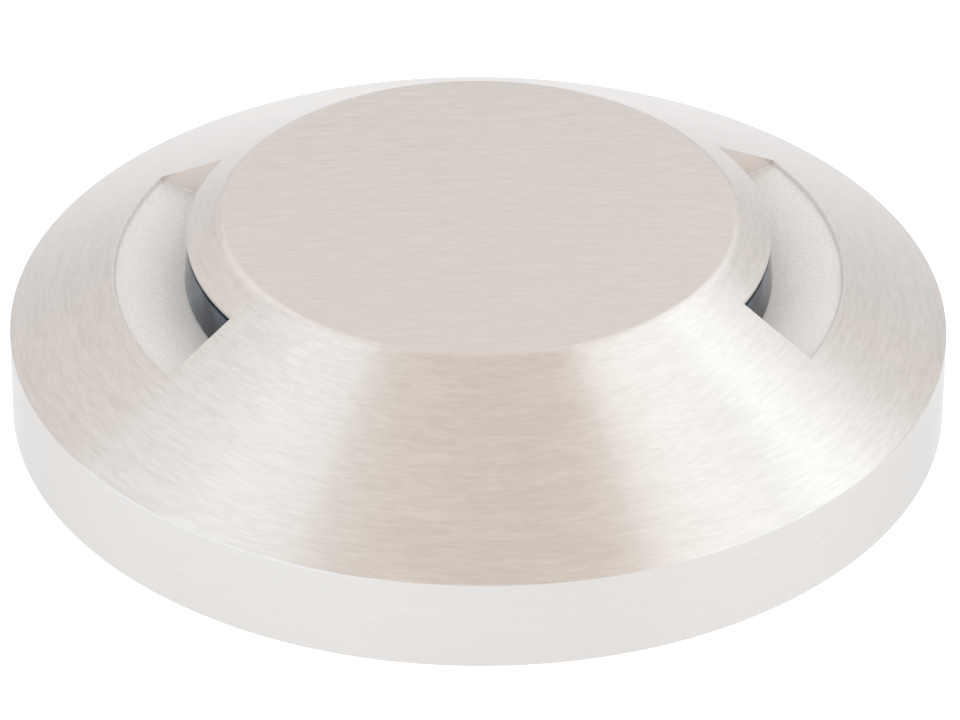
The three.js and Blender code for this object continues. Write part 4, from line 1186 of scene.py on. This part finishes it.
for label, numbers, first in (("a", (1, 4), pillar_angle), ("b", (2, 3), -pillar_angle)):
    nodes = numbered("board_screw", *numbers)
    ring_piece("board_screws_" + label, board_screw(), nodes, pillar_reach, first)
print("screws and studs: 16")

# %% [markdown]
# ## The gland, the seals and the gaskets
# The cable leaves through a hollow nut: a hexagon with a short thread above it and a bore along
# its axis. Rings of rubber and foam keep water and rattle away. They could be bevelled tubes, but
# each has one section all the way round, so they are swept like the metal rings.

# %% Gland nut, washer, seals and gaskets
HEX_WIDTH, HEX_HEIGHT, NUT_TRIM, NUT_CHAMFER, NUT_PITCH = 14.0, 2.3, 0.2, 0.6, 1.0
SEAL_WALL, GASKET_HALF, GASKET_HEIGHT = 1.9, 1.0, 1.2
FOAM_WIDTH, FOAM_EDGE = 2.2, 0.12


def gland_nut():
    top, thread, nut_top = BASE_BOTTOM - CONTACT, GLAND_THREAD - CONTACT, BASE_BOTTOM + NUT_REACH
    bottom, corner = top - HEX_HEIGHT, HEX_WIDTH / sqrt(3) + NUT_TRIM
    outline = [(0, bottom), (HEX_WIDTH / 2 - NUT_TRIM, bottom), (corner, bottom + NUT_CHAMFER)]
    barrel = solid_of(outline + [(corner, top), (0, top)], MILL_STEEL)
    hexagon = hex_rod(HEX_WIDTH, bottom - OVERRUN, top + OVERRUN, MILL_STEEL)
    head = carved(barrel, [hexagon], MILL_STEEL, "INTERSECT")
    screw = [(0, top - OVERRUN)] + threaded(thread, top - OVERRUN, nut_top, NUT_PITCH)
    body = carved(head, [solid_of(screw + [(0, nut_top)], MILL_STEEL)], MILL_STEEL, "UNION")
    return carved(body, [flared(GLAND_BORE, bottom, nut_top, MILL_STEEL)], MILL_STEEL)


def band(inner, outer, low, high, edge, material):
    section = [(inner, low, edge), (outer, low, edge), (outer, high, edge), (inner, high, edge)]
    return ring_of(section, material)


def torus(radius, section, level, material):
    angles = [tau * i / TORUS_FACETS for i in range(TORUS_FACETS)]
    outline = [(radius + section * cos(a), level + section * sin(a)) for a in angles]
    return ring_of(outline, material)


washer_bottom = BASE_BOTTOM + NUT_REACH + CONTACT
seal_top = GLAND_FLOOR - CONTACT
thread = GLAND_THREAD - CONTACT
seal_level = BASE_TOP - FACE_GROOVE_DEPTH + FACE_SEAL_SECTION + CONTACT
foam_edge = PLATEAU_RADIUS - SIDE
add_piece("gland_nut_hex", gland_nut(), GREY, "gland_nut")
ring = band(GLAND_BORE, thread, washer_bottom, washer_bottom + WASHER_HEIGHT, FINE_EDGE, MILL_STEEL)
add_piece("gland_washer_disc", ring, GREY, "gland_washer")
ring = band(thread - SEAL_WALL, thread, seal_top - SEAL_HEIGHT, seal_top, SOFT_EDGE, RUBBER)
add_piece("gland_seal_ring", ring, "rubber", "gland_seal")
ring = torus(FACE_SEAL_RADIUS, FACE_SEAL_SECTION, seal_level, RUBBER)
add_piece("face_seal_ring", ring, "rubber", "face_seal")
inner, outer = GASKET_RADIUS - GASKET_HALF, GASKET_RADIUS + GASKET_HALF
ring = band(inner, outer, 0, GASKET_HEIGHT, SOFT_EDGE, RUBBER)
add_piece("ground_gasket_ring", ring, "rubber", "ground_gasket")
ring = band(foam_edge - FOAM_WIDTH, foam_edge, PLATEAU_TOP + CONTACT, FOAM_TOP, FOAM_EDGE, FOAM)
add_piece("anti_rattle_foam", ring, "foam", "anti_rattle_ring")
print("gland, seals and gaskets ready")

# %% [markdown]
# ## Behind the windows
# The lens is a curved bar of glass with a flange that sits behind the opening. LEDs shine through
# pockets of the reflector. The LED is a white package with a sunk field of phosphor.

# %% Lenses and LEDs
LENS_HALF = WINDOW_HALF - SIDE / LIP_RADIUS
FLANGE_HALF, FLANGE_INNER, FLANGE_OUTER, FLANGE_DROP = radians(34), 25.6, 26.8, 1.4
LENS_TOP = WINDOW_TOP - 0.6
LENS_SETBACK, LENS_EDGE, LENS_OVERLAP = 0.1, 0.12, 0.05
LED_BOARD_HALF = 11.8
LED_FACE = sqrt((FLANGE_INNER - SIDE) ** 2 - LED_BOARD_HALF**2)
LED_LEVEL = (SILL_HEIGHT + WINDOW_TOP) / 2 - 0.25
LED_SIZE, LED_HEIGHT, LED_PITCH = 3.5, 0.9, 6.4
LED_FRAME, LED_SINK, LED_EDGE = 0.4, 0.15, 0.06
SIDES = (("right", 0.0), ("left", pi))


def lens_face(level):
    return LIP_RADIUS - LENS_SETBACK + WINDOW_LEAN * (WINDOW_TOP - level) / WINDOW_HEIGHT


def window_lens(turn):
    foot = SILL_HEIGHT + SIDE
    middle = (FLANGE_INNER + FLANGE_OUTER) / 2
    section = [(middle, foot), (lens_face(foot), foot, LENS_EDGE)]
    section += [(lens_face(LENS_TOP), LENS_TOP, LENS_EDGE), (middle, LENS_TOP)]
    body = ring_of(section, GLASS, turn - LENS_HALF, 2 * LENS_HALF)
    low, high = SILL_HEIGHT - FLANGE_DROP, LENS_TOP - LENS_OVERLAP
    section = [(FLANGE_INNER, low), (FLANGE_OUTER, low), (FLANGE_OUTER, high), (FLANGE_INNER, high)]
    flange = ring_of(section, GLASS, turn - FLANGE_HALF, 2 * FLANGE_HALF)
    return carved(body, [flange], GLASS, "UNION")


def led_chip():
    """One LED on the +X side, with its light field sunk into the package."""
    work = bmesh.new()
    size = Matrix.Diagonal((LED_HEIGHT * MM, LED_SIZE * MM, LED_SIZE * MM, 1))
    bmesh.ops.create_cube(work, size=1, matrix=size)
    front = [face for face in work.faces if face.normal.x > 0.5]
    bmesh.ops.inset_region(work, faces=front, thickness=LED_FRAME * MM)
    front[0].material_index = 1
    for vertex in front[0].verts:
        vertex.co.x -= LED_SINK * MM
    return bevelled(mesh_of(work, "led", LED_BODY, PHOSPHOR), LED_EDGE)


def led_row(turn):
    x = LED_FACE + CONTACT + LED_HEIGHT / 2
    row = [shifted(led_chip(), x, i * LED_PITCH, LED_LEVEL, turn) for i in (-1, 0, 1)]
    return welded(row)[0]


for side, turn in SIDES:
    lens = window_lens(turn)
    add_piece("window_lens_" + side + "_glass", lens, "window_glass", "window_lens_" + side)
    add_piece("led_row_" + side, led_row(turn), "phosphor", *numbered("led_" + side, 1, 2, 3))
    dressed("lens_gasket_" + side, RUBBER, "rubber", width=0.08)
    dressed("led_board_" + side, WHITE_BOARD, "white_board", width=0.1)
    dressed("reflector_" + side, REFLECTOR, "dark_reflector", width=0.15)
print("windows ready:", len(lens.polygons), "faces in a lens")

# %% [markdown]
# ## The driver
# The driver board stands on four pillars of the heat spreader. The parts on it are small, but each
# still has what makes it readable: a waist with its winding, a groove round a can, tinned legs.

# %% Driver board and its parts
ROW_X, ROW_Y = 8.75, 10.56
CAN_RADIUS, CAN_HEIGHT, CAN_GROOVE, CAN_FOOT = 3.0, 4.0, 0.3, 0.6
CAN_SHOULDER, CAN_DISH_OUTER, CAN_DISH_INNER, CAN_DISH_DEPTH = 0.45, 2.1, 1.98, 0.1
DRUM_RADIUS, DRUM_HEIGHT, DRUM_FLANGE, DRUM_WAIST = 3.5, 3.8, 0.7, 2.7
WIRE_TURN, WIRE_STEPS = 0.24, 4
BLOCK_EDGE, BODY_LIFT, BODY_DRAFT = 0.12, 0.05, 0.3
LEG_REACH, LEG_SHARE, LEG_DRAFT = 0.7, 0.3, 0.1
DIODE = {"size": (2.6, 4.3, 2.0), "leg": 1.6, "rows": (0,), "along_x": False}
RECTIFIER = {"size": (5.0, 4.0, 2.0), "leg": 0.8, "rows": (-1.2, 1.2), "along_x": True}
CONTROLLER_ROWS = (-1.9, -0.64, 0.64, 1.9)
CONTROLLER = {"size": (4.0, 5.0, 1.5), "leg": 0.5, "rows": CONTROLLER_ROWS, "along_x": True}


def inductor():
    low, top = PART_BOTTOM, PART_BOTTOM + DRUM_HEIGHT
    first, last = low + DRUM_FLANGE, top - DRUM_FLANGE
    foot = [(0, low), (DRUM_RADIUS, low, BREAK), (DRUM_RADIUS, first, BREAK), (DRUM_WAIST, first)]
    head = [(DRUM_WAIST, last), (DRUM_RADIUS, last, BREAK), (DRUM_RADIUS, top, BREAK), (0, top)]
    count = WIRE_STEPS * round((last - first) / WIRE_TURN)
    steps = [(i, first + (last - first) * i / count) for i in range(count + 1)]
    coil = [(DRUM_WAIST + WIRE_TURN * abs(sin(pi * i / WIRE_STEPS)), z) for i, z in steps]
    kinds = ((rounded(foot), FERRITE), (rounded(head), FERRITE), (coil, WINDING))
    return welded([turned(line, finish, facets=TOOL_FACETS) for line, finish in kinds])[0]


def capacitor():
    low, top, foot = PART_BOTTOM, PART_BOTTOM + CAN_HEIGHT, PART_BOTTOM + CAN_FOOT
    outline = [(0, low), (CAN_RADIUS, low, FINE_EDGE), (CAN_RADIUS, foot, BREAK)]
    outline += [(CAN_RADIUS - CAN_GROOVE, foot + CAN_GROOVE, BREAK)]
    outline += [(CAN_RADIUS, foot + 2 * CAN_GROOVE, BREAK), (CAN_RADIUS, top, CAN_SHOULDER)]
    dish = top - CAN_DISH_DEPTH
    return solid_of(outline + [(CAN_DISH_OUTER, top), (CAN_DISH_INNER, dish), (0, dish)], CAN)


def moulded_block(width, length, low, high, draft, material):
    """A moulded body that narrows upwards from its middle, as its tool needs."""
    work = bmesh.new()
    middle = (low + high) / 2
    size = Matrix.Diagonal((width * MM, length * MM, (high - low) * MM, 1))
    lift = Matrix.Translation((0, 0, middle * MM))
    bmesh.ops.create_cube(work, size=1, matrix=lift @ size)
    for vertex in work.verts:
        if vertex.co.z > middle * MM:
            vertex.co.x *= 1 - draft / width
            vertex.co.y *= 1 - draft / length
    return bevelled(mesh_of(work, "block", material), BLOCK_EDGE)


def chip(size, leg, rows, along_x):
    """A moulded package with tinned legs on two sides."""
    width, length, height = size
    low, high = PART_BOTTOM, PART_BOTTOM + height
    parts = [moulded_block(width, length, low + BODY_LIFT, high, BODY_DRAFT, EPOXY)]
    legs = (LEG_REACH, leg) if along_x else (leg, LEG_REACH)
    for row in rows:
        for side in (1, -1):
            reach = side * (width if along_x else length) / 2
            tab = moulded_block(*legs, low, low + LEG_SHARE * height, LEG_DRAFT, TIN)
            parts.append(shifted(tab, *((reach, row) if along_x else (row, reach))))
    return welded(parts)[0]


def part(name, mesh, slot, x, y):
    add_piece(name + "_part", shifted(mesh, x, y), slot, name)


dressed("thermal_pad", PAD, "thermal_pad", width=0.08)
dressed("heat_spreader", EXTRUDED, "cast_aluminium", width=0.15)
dressed("driver_board", GREEN_BOARD, "green_board", width=0.08)
dressed("supply_terminal", POLYAMIDE, "grey_plastic", width=0.15)
part("inductor", inductor(), "ferrite", -ROW_X, ROW_Y)
part("capacitor_in", capacitor(), "capacitor_can", ROW_X, ROW_Y)
part("capacitor_out", capacitor(), "capacitor_can", -ROW_X, -ROW_Y)
part("surge_diode", chip(**DIODE), "black_epoxy", ROW_X, -ROW_Y)
part("rectifier", chip(**RECTIFIER), "black_epoxy", -ROW_X, 0)
part("controller_chip", chip(**CONTROLLER), "black_epoxy", ROW_X, 0)
print("driver parts ready")

# %% [markdown]
# ## The leads
# Two short wires run from the driver board to each LED board. A wire follows a path, so it is a
# Bezier curve with a round bevel and closed ends, which is then made a mesh.

# %% Leads
LEAD_RADIUS, LEAD_RISE = 0.5, 1.4
LEAD_STEPS, LEAD_ROUNDNESS = 12, 6
LEAD_START_X, LEAD_START_Y, LEAD_END_Y = 15.0, PILLAR_Y + 4.4, LED_BOARD_HALF - 1.0
LED_BOARD_THICKNESS = 1.0


def lead(side, turn, material):
    """A sheathed wire from the driver board to the back of an LED board."""
    x0, y0 = LEAD_START_X, side * LEAD_START_Y
    x1, y1 = LED_FACE - LED_BOARD_THICKNESS - CONTACT - LEAD_RADIUS, side * LEAD_END_Y
    start = PART_BOTTOM + LEAD_RADIUS
    knots = [(x0, y0, start), (x0 + 2 * LEAD_RADIUS, y0, start + LEAD_RISE / 2)]
    knots += [((x0 + x1) / 2, (y0 + y1) / 2, start + LEAD_RISE), (x1, y1, start + LEAD_RISE)]
    curve = bpy.data.curves.new("lead", "CURVE")
    curve.dimensions = "3D"
    curve.bevel_depth = LEAD_RADIUS * MM
    curve.bevel_resolution = LEAD_ROUNDNESS
    curve.use_fill_caps = True
    spline = curve.splines.new("BEZIER")
    spline.bezier_points.add(len(knots) - 1)
    for point, knot in zip(spline.bezier_points, knots):
        point.co = Vector(knot) * MM
        point.handle_left_type = point.handle_right_type = "AUTO"
    spline.resolution_u = LEAD_STEPS
    return painted(shifted(baked(linked("lead", curve)), 0, 0, turn=turn), material)


for side, turn in SIDES:
    for sign, finish, name in ((1, RED_PVC, "red"), (-1, BLACK_PVC, "black")):
        mesh = lead(sign, turn, finish)
        add_piece(f"lead_{name}_{side}", mesh, name + "_wire", f"led_lead_{name}_{side}")
print("leads ready")

# %% [markdown]
# ## Studio
# The photo was taken in a white light tent: everything round the light is white, and two broad
# lamps stand at the left and the right. The steel shows the tent, so the world is bright for rays
# that the camera or a reflection sends out: pure white for the camera, and for a reflection a
# little cool at the sides and a little warm at the top. The floor lies in full light and glows
# more. It is clear from below, so that the underside can be looked at too.

# %% World and floor
WORLD_LIGHT = 0.91
TENT_SIDE, TENT_TOP = "#f4f9ff", "#fffaf4"
FLOOR_HALF, FLOOR_DROP = 3000.0, 0.02
FLOOR_WHITE_SHARE, FLOOR_GLOW, FLOOR_TINT, FLOOR_PAPER = 0.8, 1.52, "#f2f9ff", "#f4f4f2"


def tent_rays(tree):
    """One for rays from the camera, a reflection or a lens, and zero for diffuse light."""
    path = add_node(tree, "ShaderNodeLightPath").outputs
    rays = path["Is Camera Ray"]
    for name in ("Is Glossy Ray", "Is Transmission Ray"):
        rays = add_node(tree, "ShaderNodeMath", {0: rays, 1: path[name]}, operation="MAXIMUM")
    return rays


def white_world():
    world = bpy.data.worlds.new("light_tent")
    world.use_nodes = True
    tree = world.node_tree
    tree.nodes.clear()
    inputs = {0: tent_rays(tree), 3: WORLD_LIGHT, 4: 1.0}
    strength = add_node(tree, "ShaderNodeMapRange", inputs)
    ray = add_node(tree, "ShaderNodeTexCoord").outputs["Generated"]
    height = add_node(tree, "ShaderNodeSeparateXYZ", {0: ray}).outputs[2]
    inputs = {0: height, 6: colour(TENT_SIDE), 7: colour(TENT_TOP)}
    cloth = add_node(tree, "ShaderNodeMix", inputs, data_type="RGBA").outputs[2]
    seen = add_node(tree, "ShaderNodeLightPath").outputs["Is Camera Ray"]
    inputs = {0: seen, 6: cloth, 7: colour("#ffffff")}
    white = add_node(tree, "ShaderNodeMix", inputs, data_type="RGBA").outputs[2]
    light = add_node(tree, "ShaderNodeBackground", {"Color": white, 1: strength})
    add_node(tree, "ShaderNodeOutputWorld", {"Surface": light})
    bpy.context.scene.world = world


def white_floor():
    material, tree = new_material("paper_floor")
    paper = add_node(tree, "ShaderNodeBsdfDiffuse", {"Color": colour(FLOOR_PAPER)})
    inputs = {"Color": colour(FLOOR_TINT), "Strength": FLOOR_GLOW}
    glow = add_node(tree, "ShaderNodeEmission", inputs)
    inputs = {0: tent_rays(tree), 1: FLOOR_WHITE_SHARE}
    share = add_node(tree, "ShaderNodeMath", inputs, operation="MULTIPLY")
    lit = add_node(tree, "ShaderNodeMixShader", {0: share, 1: paper, 2: glow})
    back = add_node(tree, "ShaderNodeNewGeometry").outputs["Backfacing"]
    clear = add_node(tree, "ShaderNodeBsdfTransparent")
    sheet = add_node(tree, "ShaderNodeMixShader", {0: back, 1: lit, 2: clear})
    add_node(tree, "ShaderNodeOutputMaterial", {"Surface": sheet})
    half, level = FLOOR_HALF * MM, -FLOOR_DROP * MM
    mesh = bpy.data.meshes.new("floor")
    corners = [(x * half, y * half, level) for x, y in ((-1, -1), (1, -1), (1, 1), (-1, 1))]
    mesh.from_pydata(corners, [], [(0, 1, 2, 3)])
    mesh.materials.append(material)
    floor = linked("floor", mesh)


white_world()
white_floor()
print("white tent ready")

# %% [markdown]
# ## Lamps
# Each softbox is named by where the steel sees it: an azimuth from the camera, a height above the
# horizon, a size and a brightness next to the white tent. Two wide boxes at the left and the right
# give the two bright wedges on the cone. The others are dimmer and lift its far side.

# %% Lamps
LAMP_DISTANCE = 900.0
LAMPS = {
    "box_right": {"place": (75, 24), "size": (949, 957), "glow": 0.95, "tint": "#ccebff"},
    "box_right_back": {"place": (135, 43), "size": (760, 300), "glow": 0.7, "tint": "#dcf2ff"},
    "box_right_high": {"place": (112, 62), "size": (845, 300), "glow": 0.6, "tint": "#dcf2ff"},
    "box_left": {"place": (-60, 24), "size": (1644, 957), "glow": 0.9, "tint": "#c0e6ff"},
    "box_left_high": {"place": (-112, 62), "size": (845, 300), "glow": 0.5, "tint": "#d0edff"},
    "box_back": {"place": (195, 43), "size": (760, 300), "glow": 0.4, "tint": "#e6f3ff"},
    "box_front": {"place": (0, 24), "size": (440, 300), "glow": 0.7, "tint": "#e0f0ff"},
}


def hang_lamp(name, place, size, glow, tint):
    """A softbox. A glow of 1 is as bright as the tent."""
    data = bpy.data.lights.new(name, "AREA")
    data.shape = "RECTANGLE"
    data.size, data.size_y = (side * MM for side in size)
    data.energy = pi * data.size * data.size_y * glow
    data.color = colour(tint)[:3]
    azimuth, elevation = (radians(angle) for angle in place)
    ray = direction(azimuth + CAMERA_AZIMUTH, elevation)[1]
    lamp = linked(name, data)
    lamp.location = ray * LAMP_DISTANCE * MM
    lamp.rotation_mode = "QUATERNION"
    lamp.rotation_quaternion = ray.to_track_quat("Z", "Y")


for name, facts in LAMPS.items():
    hang_lamp(name, **facts)
bpy.context.scene.view_settings.view_transform = "Standard"
print("lamps:", ", ".join(LAMPS))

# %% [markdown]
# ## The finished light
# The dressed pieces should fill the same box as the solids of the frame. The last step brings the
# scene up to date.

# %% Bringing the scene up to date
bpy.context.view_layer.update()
